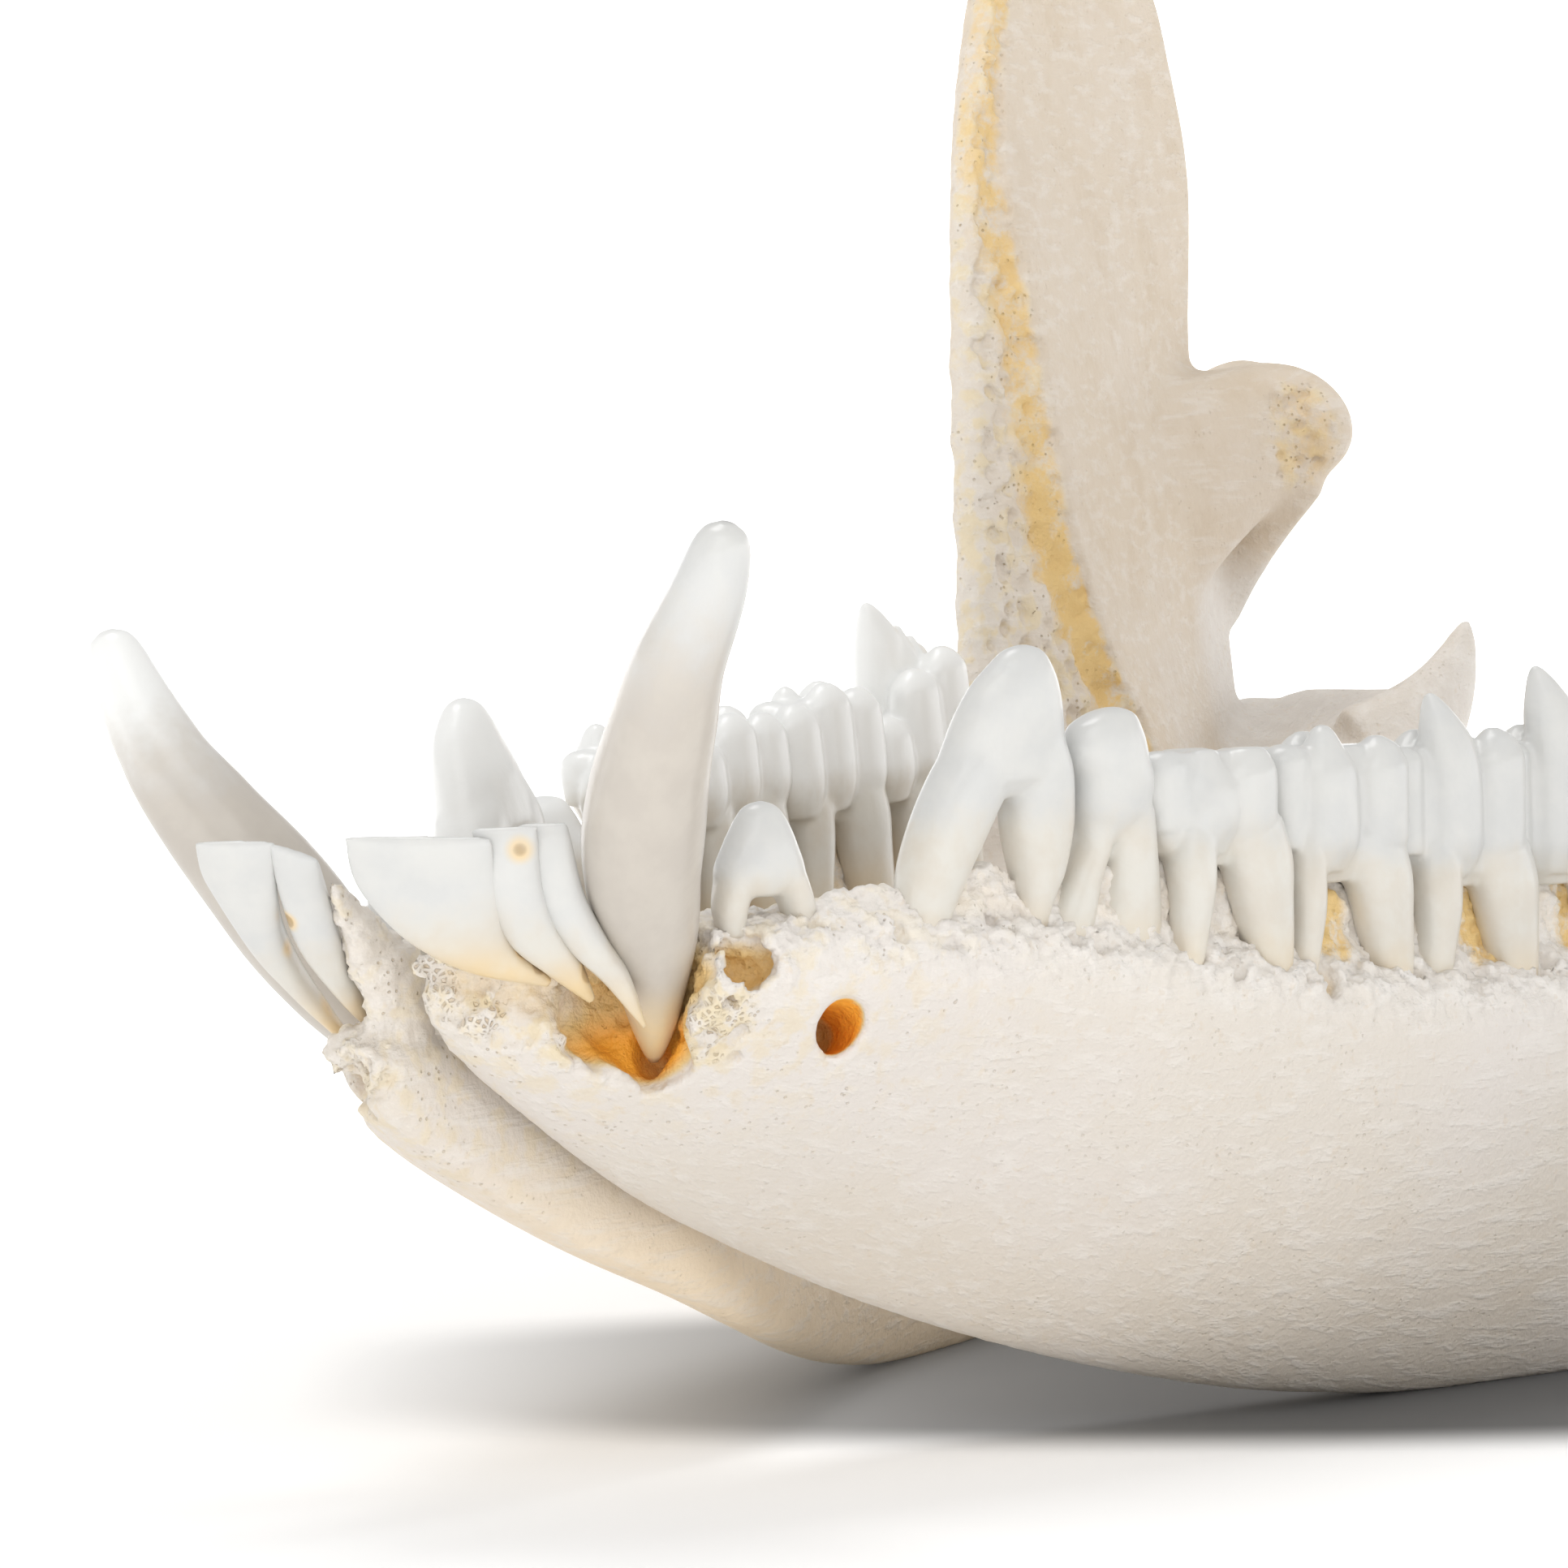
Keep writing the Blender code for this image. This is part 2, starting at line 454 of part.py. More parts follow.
def molar(side, y, middle, tall, shelf, heel, heel_ahead, front_root, rear_root, lift, collection):
    """Crown of rounded columns with a high front cusp and a lower heel on two roots, raised by a lift."""
    spot, along, out = row_frame(y)
    spot = spot + Vector((0, 0, lift))
    tall, shelf, heel = tall - lift, shelf - lift, heel - lift
    low = min(shelf, heel)
    crown = [(rise, middle, *rest) for rise, *rest in CROWN_FOOT]
    crown += [(low + rise, middle, *rest) for rise, *rest in CROWN_BROW]
    column(spot, along, out, crown, collection, CROWN_SIDES)
    tall_ahead, tall_lean = TOWERING_CUSP if tall - shelf > TOWERING else LEVEL_CUSP
    # Each cusp: place along the row, lean along it, place outwards, rise and half size
    cusps = (
        (tall_ahead, tall_lean, 0.65, tall, 1.35),
        (heel_ahead, 0.0, 0.8, heel, 1.2),
        (-2.1, 0.0, 0.2, shelf, 0.95),
        (-2.0, 0.0, -0.8, shelf - 0.1, 1.3),
        (0.2, 0.0, -0.8, (shelf + heel) / 2 + 0.3, 1.3),
        (2.3, 0.0, -0.8, heel - 0.3, 1.3),
    )
    foot, foot_long, foot_side = CUSP_FOOT
    for ahead, lean, outward, rise, half in cusps:
        stations = [(foot, ahead, outward, half * foot_long, half * foot_side)]
        stations += [(rise + under, ahead + lean * leaning, outward, half * long_share, half * side_share)
                     for under, leaning, long_share, side_share in CUSP_RINGS]
        column(spot, along, out, stations, collection)
    for (ahead, half_long, half_side), away in ((front_root, -1), (rear_root, 1)):
        stations = [(rise - lift * deeper, ahead + away * spread, ROOTS_OUT[side] * outward,
                     half_long * long_share, half_side * side_share)
                    for deeper, (rise, spread, outward, long_share, side_share)
                    in ((1.0, ROOT_END), (0.5, ROOT_WAIST), (0.0, ROOT_TOP))]
        column(spot, along, out, stations, collection)


def canine(collection, radius_extra=0.0):
    """The canine: a horn that curves up, out and forward from its socket."""
    x_at, y_at, radius_at = track(CANINE_X), track(CANINE_Y), track(CANINE_RADIUS)
    sections = []
    for z in CANINE_LEVELS:
        centre = Vector((x_at(z), y_at(z), z))
        along = Vector((x_at(z + 0.2) - x_at(z - 0.2), y_at(z + 0.2) - y_at(z - 0.2), 0.4)).normalized()
        side = (Vector((1, 0, 0)) - along * along.x).normalized()
        front = along.cross(side)
        radius = radius_at(z)
        turns = [2 * math.pi * k / CANINE_SIDES for k in range(CANINE_SIDES)]
        sections.append([centre + side * math.cos(a) * (radius * CANINE_FLATNESS + radius_extra)
                         + front * math.sin(a) * (radius + radius_extra) for a in turns])
    if radius_extra:
        sections[0] = [point - Vector((0, 0, radius_extra)) for point in sections[0]]
    return loft("canine", sections, collection)


def apply_modifiers(obj):
    """Replace an object's mesh with its evaluated one."""
    graph = bpy.context.evaluated_depsgraph_get()
    graph.update()
    mesh = bpy.data.meshes.new_from_object(obj.evaluated_get(graph))
    obj.modifiers.clear()
    obj.data = mesh


def unite(obj, collection):
    """Join the closed meshes of a collection into an object, and remove them."""
    join = obj.modifiers.new("join", 'BOOLEAN')
    join.operand_type = 'COLLECTION'
    join.collection = collection
    join.operation = 'UNION'
    join.solver = 'MANIFOLD'
    apply_modifiers(obj)
    empty_collection(collection)


def carve(obj, collection):
    """Cut the closed meshes of a collection out of an object, and remove them."""
    cut = obj.modifiers.new("cut", 'BOOLEAN')
    cut.operand_type = 'COLLECTION'
    cut.collection = collection
    cut.operation = 'DIFFERENCE'
    cut.solver = 'MANIFOLD'
    apply_modifiers(obj)
    empty_collection(collection)


def empty_collection(collection):
    """Remove every object of a collection."""
    for obj in list(collection.objects):
        bpy.data.objects.remove(obj)


def part_shared_edges(bm):
    """Where two sheets of triangles share one edge, give the first sheet a middle point of its own there."""
    for edge in [edge for edge in bm.edges if len(edge.link_faces) == 4]:
        first = edge.link_faces[0]
        second = max(edge.link_faces[1:], key=lambda face: face.normal.dot(first.normal))
        middle = bm.verts.new((edge.verts[0].co + edge.verts[1].co) / 2)
        for face in (first, second):
            around = list(face.verts)
            for end in edge.verts:
                bm.faces.new([middle if vert == end else vert for vert in around])
            bm.faces.remove(face)


def keep_largest(obj):
    """Keep only the largest closed surface of an object."""
    bm = bmesh.new()
    bm.from_mesh(obj.data)
    bmesh.ops.triangulate(bm, faces=bm.faces)
    part_shared_edges(bm)
    bm.verts.ensure_lookup_table()
    seen = set()
    groups = []
    for vert in bm.verts:
        if vert.index in seen:
            continue
        group = [vert]
        seen.add(vert.index)
        for member in group:
            for edge in member.link_edges:
                other = edge.other_vert(member)
                if other.index not in seen:
                    seen.add(other.index)
                    group.append(other)
        groups.append(group)
    largest = max(groups, key=len)
    keep = {vert.index for vert in largest}
    bmesh.ops.delete(bm, geom=[vert for vert in bm.verts if vert.index not in keep], context='VERTS')
    bm.to_mesh(obj.data)
    bm.free()


def fuse_bone(obj):
    """Melt the joined pieces of a bone into one soft form of few faces."""
    melt = obj.modifiers.new("melt", 'REMESH')
    melt.mode = 'VOXEL'
    melt.voxel_size = BONE_VOXEL * MM
    soften = obj.modifiers.new("soften", 'SMOOTH')
    soften.factor = 0.5
    soften.iterations = BONE_SMOOTHING
    apply_modifiers(obj)
    thin = obj.modifiers.new("thin", 'DECIMATE')
    obj.data.calc_loop_triangles()
    thin.ratio = BONE_FACES / len(obj.data.loop_triangles)
    apply_modifiers(obj)


def ball(name, centre, radii, collection):
    """An ellipsoid, used as a cutter."""
    bm = bmesh.new()
    bmesh.ops.create_uvsphere(bm, u_segments=14, v_segments=9, radius=1.0)
    shape = Matrix.Diagonal((*[r * MM for r in radii], 1.0))
    bmesh.ops.transform(bm, matrix=Matrix.Translation(Vector(centre) * MM) @ shape, verts=bm.verts)
    return add_object(name, bm, collection)


def place(obj, turn, shift, mirrored):
    """Turn a left half about its pivot, shift it, and mirror it for the right side."""
    pivot = Vector(PIVOT) * MM
    turned = Euler([math.radians(a) for a in turn]).to_matrix().to_4x4()
    move = Matrix.Translation(pivot + Vector((*shift, 0)) * MM) @ turned @ Matrix.Translation(-pivot)
    if mirrored:
        move = Matrix.Diagonal((-1, 1, 1, 1)) @ move
    obj.data.transform(move)
    if mirrored:
        obj.data.flip_normals()


def build_half(side, turn, shift, parts, work):
    """Make one half: its bone with the teeth that are joined to it, and its canine."""
    mirrored = side == "right"
    lift = RIGHT_LIFT if mirrored else 0.0
    bone = jaw_body(parts)
    bone.name = "dentary_" + side
    ramus(work)
    condyle(work)
    angle_shelf(work)
    root_ridge(lift, work)
    if mirrored:
        horn("blade", BLADE_FOOT, BLADE_BEND, BLADE_TIP, BLADE_HALF_DEEP, BLADE_HALF_THICK, work)
    unite(bone, work)
    fuse_bone(bone)
    for centre, radii in HOLLOWS:
        ball("hollow", centre, radii, work)
    ball("foramen", CHIN_FORAMEN, CHIN_FORAMEN_RADII, work)
    ball("foramen", JAW_FORAMEN, JAW_FORAMEN_RADII, work)
    carve(bone, work)
    for borders in INCISORS[side]:
        incisor(*borders, work)
    for i, (y, *columns) in enumerate(PREMOLARS):
        premolar(y, columns, RIGHT_THIRD_PREMOLAR if mirrored and i == 2 else 1.0, work)
    for sizes in MOLARS[side]:
        molar(side, *sizes, lift, work)
    unite(bone, work)
    canine(work, CLEARANCE)
    carve(bone, work)
    keep_largest(bone)
    tooth = canine(parts)
    tooth.name = "canine_" + side
    for obj in (bone, tooth):
        place(obj, turn, shift, mirrored)
    drop = min(vert.co.z for vert in bone.data.vertices) + REST_FLAT_DEPTH * MM
    for obj in (bone, tooth):
        obj.data.transform(Matrix.Translation((0, 0, -drop)))
    for vert in bone.data.vertices:
        vert.co.z = max(vert.co.z, 0.0)
    return bone, tooth


def main():
    for obj in list(bpy.data.objects):
        bpy.data.objects.remove(obj)
    parts = bpy.data.collections.new("opossum_lower_jaw")
    work = bpy.data.collections.new("work")
    for collection in (parts, work):
        bpy.context.scene.collection.children.link(collection)
    bone_finish = material("bleached_bone", *BONE_FINISH)
    enamel_finish = material("enamel", *ENAMEL_FINISH)
    halves = build_half("left", LEFT_TURN, LEFT_SHIFT, parts, work)
    halves += build_half("right", RIGHT_TURN, RIGHT_SHIFT, parts, work)
    corners = [obj.matrix_world @ vert.co for obj in halves for vert in obj.data.vertices]
    middle_x = (min(c.x for c in corners) + max(c.x for c in corners)) / 2
    middle_y = (min(c.y for c in corners) + max(c.y for c in corners)) / 2
    for obj in halves:
        obj.data.transform(Matrix.Translation((-middle_x, -middle_y, 0)))
        obj.data.materials.clear()
        obj.data.materials.append(bone_finish if obj.name.startswith("dentary") else enamel_finish)
        obj.data.shade_smooth()
        obj.data.set_sharp_from_angle(angle=math.radians(SHARP_ANGLE))


main()
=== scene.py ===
"""Lower jaw of a Virginia opossum as a museum model: two bleached jaw bones, their teeth, a pale floor and light."""

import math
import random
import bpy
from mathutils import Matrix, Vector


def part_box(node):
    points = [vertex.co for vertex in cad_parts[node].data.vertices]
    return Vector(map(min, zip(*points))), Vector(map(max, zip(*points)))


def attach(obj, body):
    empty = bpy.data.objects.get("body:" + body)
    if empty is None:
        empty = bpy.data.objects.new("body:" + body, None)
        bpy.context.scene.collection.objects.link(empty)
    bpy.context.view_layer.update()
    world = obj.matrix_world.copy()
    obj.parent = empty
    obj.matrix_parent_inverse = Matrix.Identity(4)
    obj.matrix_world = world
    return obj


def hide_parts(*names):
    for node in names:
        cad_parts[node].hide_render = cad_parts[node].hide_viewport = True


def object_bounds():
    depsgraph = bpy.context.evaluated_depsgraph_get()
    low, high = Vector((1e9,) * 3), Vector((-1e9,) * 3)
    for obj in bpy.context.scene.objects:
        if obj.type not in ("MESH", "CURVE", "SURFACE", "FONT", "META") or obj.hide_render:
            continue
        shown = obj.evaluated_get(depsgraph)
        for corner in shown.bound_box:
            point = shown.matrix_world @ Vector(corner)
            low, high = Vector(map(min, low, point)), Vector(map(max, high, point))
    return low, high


bl_info = {
    "name": "Opossum Lower Jaw",
    "version": (1, 0, 0),
    "blender": (4, 5, 0),
    "location": "3D View > Sidebar > Jaw",
    "description": "Builds the bleached lower jaw of an opossum with its teeth, floor, light and camera",
    "category": "Add Mesh",
}

from bisect import bisect_right

import bmesh
import bpy
import numpy
from bpy.props import FloatProperty, FloatVectorProperty, IntProperty, PointerProperty
from mathutils import Euler, Matrix, Vector, noise
from mathutils.bvhtree import BVHTree

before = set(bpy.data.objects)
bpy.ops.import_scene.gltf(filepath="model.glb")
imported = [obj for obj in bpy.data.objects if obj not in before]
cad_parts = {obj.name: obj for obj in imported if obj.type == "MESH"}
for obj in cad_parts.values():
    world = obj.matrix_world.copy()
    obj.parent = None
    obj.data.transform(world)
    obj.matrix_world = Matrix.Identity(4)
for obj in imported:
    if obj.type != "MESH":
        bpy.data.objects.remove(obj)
CAD_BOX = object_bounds()

# Each half is shaped in millimetres as the animal's left one, X out from the middle, Y back and Z up
MM = 0.001
UP = Vector((0, 0, 1))
PIVOT = Vector((17.0, 42.0, 0.0))
TURN = {"left": (-1.7, -2.4, 1.0), "right": (3.5, 2.0, 0.2)}
SHIFT = {"left": (-0.3, -0.4), "right": (-0.4, 0.4)}

# Body of the bone along Y: borders, middle line and half thickness
ALVEOLAR_EDGE = ((-1.3, 19.2), (0, 19.6), (5, 19.4), (10, 20.0), (18, 19.4), (28, 18.0), (36, 16.9), (46, 16.4),
                 (54, 17.0), (64, 17.5), (76, 18.6), (86, 20.6))
LOWER_EDGE = ((-1.3, 18.2), (0, 16.2), (5, 12.7), (10, 9.8), (15, 7.5), (20, 5.3), (25, 3.4), (30, 1.9), (36, 0.7),
              (44, 0.05), (53, 0.0), (60, 1.8), (68, 6.8), (76, 12.2), (86, 16.8))
MIDDLE_TOP = ((-1.3, 1.6), (0, 2.6), (5, 5.2), (10, 7.3), (15, 9.4), (20, 11.2), (28, 13.2), (34, 14.0), (46, 15.3),
              (54, 17.4), (70, 22.0), (86, 26.6))
MIDDLE_LOW = ((-1.3, 1.1), (5, 1.2), (10, 1.3), (15, 1.8), (20, 3.1), (25, 5.2), (30, 7.4), (36, 9.7), (44, 11.7),
              (50, 13.2), (60, 16.6), (70, 20.4), (86, 25.8))
HALF_THICKNESS = ((-1.3, 1.0), (0, 2.0), (5, 5.0), (10, 5.4), (15, 4.8), (20, 4.2), (30, 3.9), (40, 4.0), (48, 3.8),
                  (56, 3.0), (66, 2.2), (86, 1.8))
LOWER_SHARE = ((0, 0.30), (12, 0.34), (24, 0.52), (40, 0.62))
SYMPHYSIS = 0.38
BODY_FRONT = -1.3
BODY_LENGTH = 87.3
BODY_STATIONS = 70
BODY_SIDES = 36
BODY_SQUARENESS = 2.5
FULLNESS = 0.45

# Ramus: outer front crest, inner front ridge and rear edge at each height
CREST_X = ((8, 17.8), (20, 18.9), (32, 20.0), (42, 21.1), (52, 22.4), (58, 24.0))
CREST_Y = ((8, 52.0), (20, 54.8), (26, 56.8), (37, 59.2), (45, 61.8), (52, 65.6), (56, 69.6), (58, 73.6))
RIDGE_X = ((8, 17.2), (20, 17.6), (31, 18.2), (44, 20.4), (52, 22.6), (58, 24.6))
RIDGE_Y = ((8, 68.6), (20, 66.8), (25, 64.4), (31, 62.8), (44, 63.2), (52, 67.0), (56, 70.8), (58, 74.6))
REAR_X = ((8, 23.5), (20, 26.4), (36, 26.3), (48, 26.5), (58, 25.6))
REAR_Y = ((8, 80.0), (20, 84.8), (25, 84.6), (29, 85.4), (35, 83.2), (44, 84.5), (50, 83.4), (55, 80.4), (58, 76.4))
PLATE = 1.9
FLARE = 1.7
RAMUS_FOOT = 8.0
RAMUS_HEIGHT = 50.0
RAMUS_STATIONS = 48
RAMUS_CROWDING = 1.4
INNER_SHARES = (0, 0.25, 0.5, 0.75, 0.95)
OUTER_SHARES = (0.95, 0.75, 0.5, 0.25, 0.05)

# Condyle, neck, buttress, inward shelf and its point
CONDYLE_OUTER = Vector((29.0, 87.2, 33.5))
CONDYLE_INNER = Vector((21.2, 85.7, 31.9))
CONDYLE_OVERHANG = 0.06
CONDYLE_RADIUS = ((0, 0.9), (0.12, 1.9), (0.3, 2.5), (0.7, 2.38), (0.9, 1.7), (1, 0.8))
CONDYLE_FACE = (22.0, 84.6, 32.2)
NECK_START = Vector((24.6, 77.0, 29.8))
NECK_END = Vector((24.8, 86.4, 32.7))
NECK_HALF_ACROSS = ((0, 1.1), (0.5, 1.9), (1, 3.8))
NECK_HALF_UP = ((0, 5.6), (1, 2.6))
NECK_STATIONS = 12
NECK_SIDES = 20
BUTTRESS = (Vector((26.8, 84.0, 23.9)), Vector((26.3, 84.7, 27.8)), Vector((23.9, 85.8, 31.2)))
BUTTRESS_HALF_DEEP = ((0, 0.8), (1, 1.3))
BUTTRESS_HALF_ACROSS = ((0, 0.9), (0.5, 2.1), (1, 3.0))
SHELF_INNER_X = ((64, 20.0), (70, 18.4), (78, 16.9), (84, 16.0), (88, 16.2))
SHELF_TOP_Z = ((64, 9.4), (70, 13.2), (78, 17.7), (84, 20.2), (88, 21.4))
SHELF_FRONT = 64.0
SHELF_LENGTH = 23.5
SHELF_HALF_THICK = 1.2
SHELF_SAG = 0.6
SHELF_OVERLAP = 0.3
SHELF_STATIONS = 24
SHELF_SIDES = 24
POINT = (Vector((18.8, 82.6, 17.6)), Vector((16.4, 86.2, 18.8)), Vector((16.6, 88.5, 23.6)))
POINT_HALF_LONG = ((0, 3.0), (0.4, 2.5), (0.7, 1.6), (0.9, 0.8), (1, 0.35))
POINT_HALF_THICK = ((0, 2.2), (0.4, 1.6), (0.75, 0.95), (1, 0.35))

# Blade of bone that stands up between the front teeth, on the right half only
BLADE = (Vector((1.4, 2.4, 19.6)), Vector((1.2, -0.4, 22.6)), Vector((0.9, -2.4, 25.6)))
BLADE_HALF_DEEP = ((0, 1.9), (0.3, 1.5), (0.6, 0.9), (0.85, 0.4), (1, 0.2))
BLADE_HALF_THICK = ((0, 1.0), (0.4, 0.8), (0.7, 0.5), (1, 0.25))

# Canine: middle line and radius at each height, and the radius and levels of the CAD model's one
CANINE_X = ((13.6, 4.1), (16, 5.0), (19.2, 6.2), (21.6, 7.1), (24.1, 8.3), (26.5, 9.8), (28.8, 11.2), (31, 12.5),
            (33.4, 13.5))
CANINE_Y = ((13.6, 7.6), (16, 6.6), (19.2, 5.1), (21.6, 3.7), (24.1, 2.6), (26.5, 1.7), (28.8, 1.1), (33.4, 1.0))
CANINE_RADIUS = ((14.9, 0.2), (15.2, 0.4), (16.4, 0.9), (17.4, 1.2), (19, 1.65), (20.5, 1.97), (23, 2.2), (26.5, 1.9),
                 (29, 1.55), (31.4, 1.24), (32.4, 1.03), (32.9, 0.75), (33.15, 0.3))
CANINE_FLATNESS = 0.93
CANINE_TIP_LEVELS = (32.6, 32.75, 32.88, 32.98, 33.06, 33.12, 33.15)
SOLID_RADIUS = ((13.6, 0.8), (15, 1.3), (19, 2.15), (23, 2.25), (26.5, 1.9), (29, 1.5), (31.5, 1.08), (32.8, 0.8),
                (33.4, 0.35))
SOLID_LEVELS = (13.6, 14.6, 16, 18, 20, 22, 24, 26, 28, 30, 31.6, 32.7, 33.4)

# How high the thin ridge of bone between the roots stands over the bone's edge, how far it stands aside, and the
# tooth row in plan; on the right the ridge and the crowns grow higher from the third premolar back
ROOT_RIDGE = ((10, 0.1), (11.3, 0.7), (14, 0.9), (16, 1.6), (18, 1.9), (19.5, 0.9), (22.5, 2.4), (27, 3.0),
              (50, 3.3))
RIDGE_ASIDE = {"left": -0.3, "right": 0.4}
RIDGE_LIFT = {"left": 0.0, "right": 1.9}
LIFT_START = 19.0
LIFT_GROWTH = 4.0
RIDGE_FRONT = 10.0
RIDGE_LENGTH = 40.0
RIDGE_STATIONS = 84
RIDGE_SIDES = 16
RIDGE_HALF_THICK = 0.75
RIDGE_SUNK = 0.5
ROW_X = ((5, 6.7), (10, 8.6), (14, 10.2), (18, 11.3), (23, 12.5), (28, 13.4), (34, 14.1), (40, 14.6), (50, 15.5))

# Premolars: place along Y, height of the neck, then the crown and its two legs, each as stations of rise over the
# bone's edge, place along the row, place outwards, half length and half width
PREMOLARS = (
    (8.9, 1.0, ((0.5, -0.2, 0, 0.8, 0.6), (1.3, -0.2, 0, 1.75, 1.0), (2.25, -0.15, 0, 1.4, 0.95),
                (3.2, -0.1, 0, 0.92, 0.7), (3.62, -0.1, 0, 0.58, 0.45), (3.78, -0.1, 0, 0.15, 0.12)),
     ((-0.9, -1.3, 0, 0.4, 0.5), (0, -1.4, 0, 0.6, 0.7), (1.3, -1.1, 0, 0.75, 0.85)),
     ((-2, 1.6, 0, 0.4, 0.5), (0, 1.3, 0, 0.62, 0.7), (1.2, 0.85, 0, 0.7, 0.85))),
    (17.0, 3.0, ((3.9, 1.1, 0.2, 0.9, 0.6), (4.7, 1.05, 0.3, 2.75, 1.35), (6.26, 1.09, 0.6, 2.35, 1.35),
                 (7.7, 1.21, 0.95, 1.85, 1.05), (8.65, 1.42, 1.1, 1.15, 0.75), (9.05, 1.47, 1.15, 0.75, 0.45),
                 (9.22, 1.47, 1.17, 0.2, 0.15)),
     ((-2.8, -2.9, 0, 0.7, 0.7), (0, -2.3, 0, 1.06, 0.95), (1.33, -1.87, 0, 1.4, 1.1), (3.1, -1.07, 0.1, 1.6, 1.25),
      (4.7, -0.25, 0.3, 1.65, 1.3), (6.2, 0.6, 0.55, 1.5, 1.2)),
     ((-2.8, 2.2, 0, 0.4, 0.5), (0, 2.5, 0, 0.65, 0.8), (1.33, 2.8, 0, 1.05, 1.0), (3.1, 2.75, 0.1, 1.4, 1.2),
      (4.7, 2.6, 0.3, 1.35, 1.3), (6.2, 2.2, 0.55, 1.1, 1.1))),
    (22.7, 3.2, ((2.9, 0.3, 0, 0.9, 0.7), (3.9, 0.2, 0.15, 1.6, 1.2), (5.0, 0.15, 0.3, 1.72, 1.3),
                 (6.0, -0.25, 0.45, 1.78, 1.2), (6.9, -0.3, 0.55, 1.5, 1.0), (7.4, -0.05, 0.58, 0.95, 0.65),
                 (7.6, 0, 0.6, 0.3, 0.25)),
     ((-2.8, -2.4, 0, 0.5, 0.5), (0, -1.7, 0, 0.95, 0.8), (1.4, -1.2, 0, 0.8, 0.8), (2.7, -0.6, 0, 0.72, 0.85),
      (4.0, -0.2, 0.1, 1.1, 1.0)),
     ((-2.8, 1.2, 0, 0.8, 0.7), (0, 1.15, 0, 1.25, 0.95), (1.4, 1.2, 0, 1.12, 1.0), (2.7, 1.15, 0, 1.05, 1.05),
      (4.0, 0.9, 0.1, 1.1, 1.1))),
)

SECOND_PREMOLAR_LOBE = ((3.0, 3.0, 0.2, 1.2, 1.0), (5.5, 2.9, 0.5, 1.0, 0.9), (6.6, 2.7, 0.6, 0.4, 0.4))
RIGHT_THIRD_PREMOLAR = 0.75

# Molars of each side: place along Y, middle of the crown along the row, rise of the tall outer cusp, the front shelf
# and the rear cusp, place of the rear cusp along the row, and place, half length and half width of the two roots
MOLARS = {
    "left": (
        (27.4, -0.3, 6.9, 6.7, 6.9, 1.6, (-1.35, 0.82, 0.85), (2.15, 1.4, 0.95)),
        (33.7, 0.4, 8.25, 7.6, 7.75, 2.5, (-1.7, 0.68, 0.7), (2.5, 1.35, 0.95)),
        (40.2, 0.6, 9.7, 7.8, 8.3, 2.9, (-0.75, 0.95, 0.8), (3.3, 1.45, 1.0)),
        (46.5, 0.9, 10.7, 8.0, 8.4, 2.9, (1.9, 0.7, 0.7), (3.9, 0.8, 0.9)),
    ),
    "right": (
        (27.4, 0.0, 8.6, 7.8, 8.2, 1.8, (-1.4, 0.85, 0.85), (1.9, 1.25, 0.95)),
        (33.7, 0.2, 9.2, 8.4, 9.1, 2.3, (-1.4, 0.85, 0.85), (2.1, 1.25, 0.95)),
        (40.2, 0.2, 9.9, 9.5, 9.8, 2.2, (-1.2, 0.95, 0.85), (2.4, 1.3, 1.0)),
        (46.5, 0.6, 12.7, 8.4, 10.9, 2.3, (-0.6, 0.8, 0.85), (2.6, 1.2, 1.0)),
    ),
}
WORN_RISE = 6.65
NECK_RISE = 3.2
SPIKED_RISE = 9.5
ROOTS_OUT = {"left": 1.0, "right": -0.8}

# Incisors: left and right border of each flat blade, from the root up
INCISORS = {
    "left": (
        (((4.2, 2.0, 17.7), (2.7, -0.1, 18.3), (1.4, -2.1, 19.6), (0.6, -3.6, 21.6), (0.9, -4.4, 23.1)),
         ((4.3, 2.1, 18.0), (3.8, 0.8, 19.3), (4.1, 0.1, 20.7), (4.3, -0.6, 21.7), (4.7, -1.2, 22.9))),
        (((5.1, 3.1, 17.1), (4.5, 1.8, 18.1), (3.9, 0.4, 19.3), (3.7, -0.5, 21.0), (3.8, -1.3, 23.2)),
         ((5.3, 3.2, 17.3), (5.3, 2.4, 18.8), (5.1, 1.4, 20.1), (5.2, 0.7, 21.4), (5.5, 0.2, 23.25))),
        (((6.5, 4.2, 16.2), (5.7, 3.0, 18.0), (5.1, 1.8, 19.3), (4.6, 0.8, 21.1), (4.6, 0.1, 23.3)),
         ((6.6, 4.3, 16.3), (6.5, 3.6, 18.0), (6.3, 2.8, 19.2), (6.0, 1.8, 21.2), (6.0, 1.2, 23.3))),
    ),
    "right": (
        (((3.8, 0.9, 18.9), (4.3, -1.0, 21.3), (4.5, -2.6, 23.2), (4.5, -4.2, 25.2), (3.9, -5.3, 26.7)),
         ((3.5, 1.2, 19.1), (3.6, -0.5, 21.1), (3.3, -1.8, 22.8), (2.6, -2.8, 24.5), (1.7, -3.6, 26.5))),
        (((2.7, 1.4, 19.2), (3.0, -0.3, 21.4), (2.9, -1.7, 22.7), (2.5, -2.8, 24.5), (1.9, -3.8, 26.5)),
         ((2.5, 1.5, 19.3), (2.2, 0.3, 21.0), (1.7, -0.8, 22.7), (1.2, -1.8, 24.4), (0.6, -2.8, 25.8))),
    ),
}

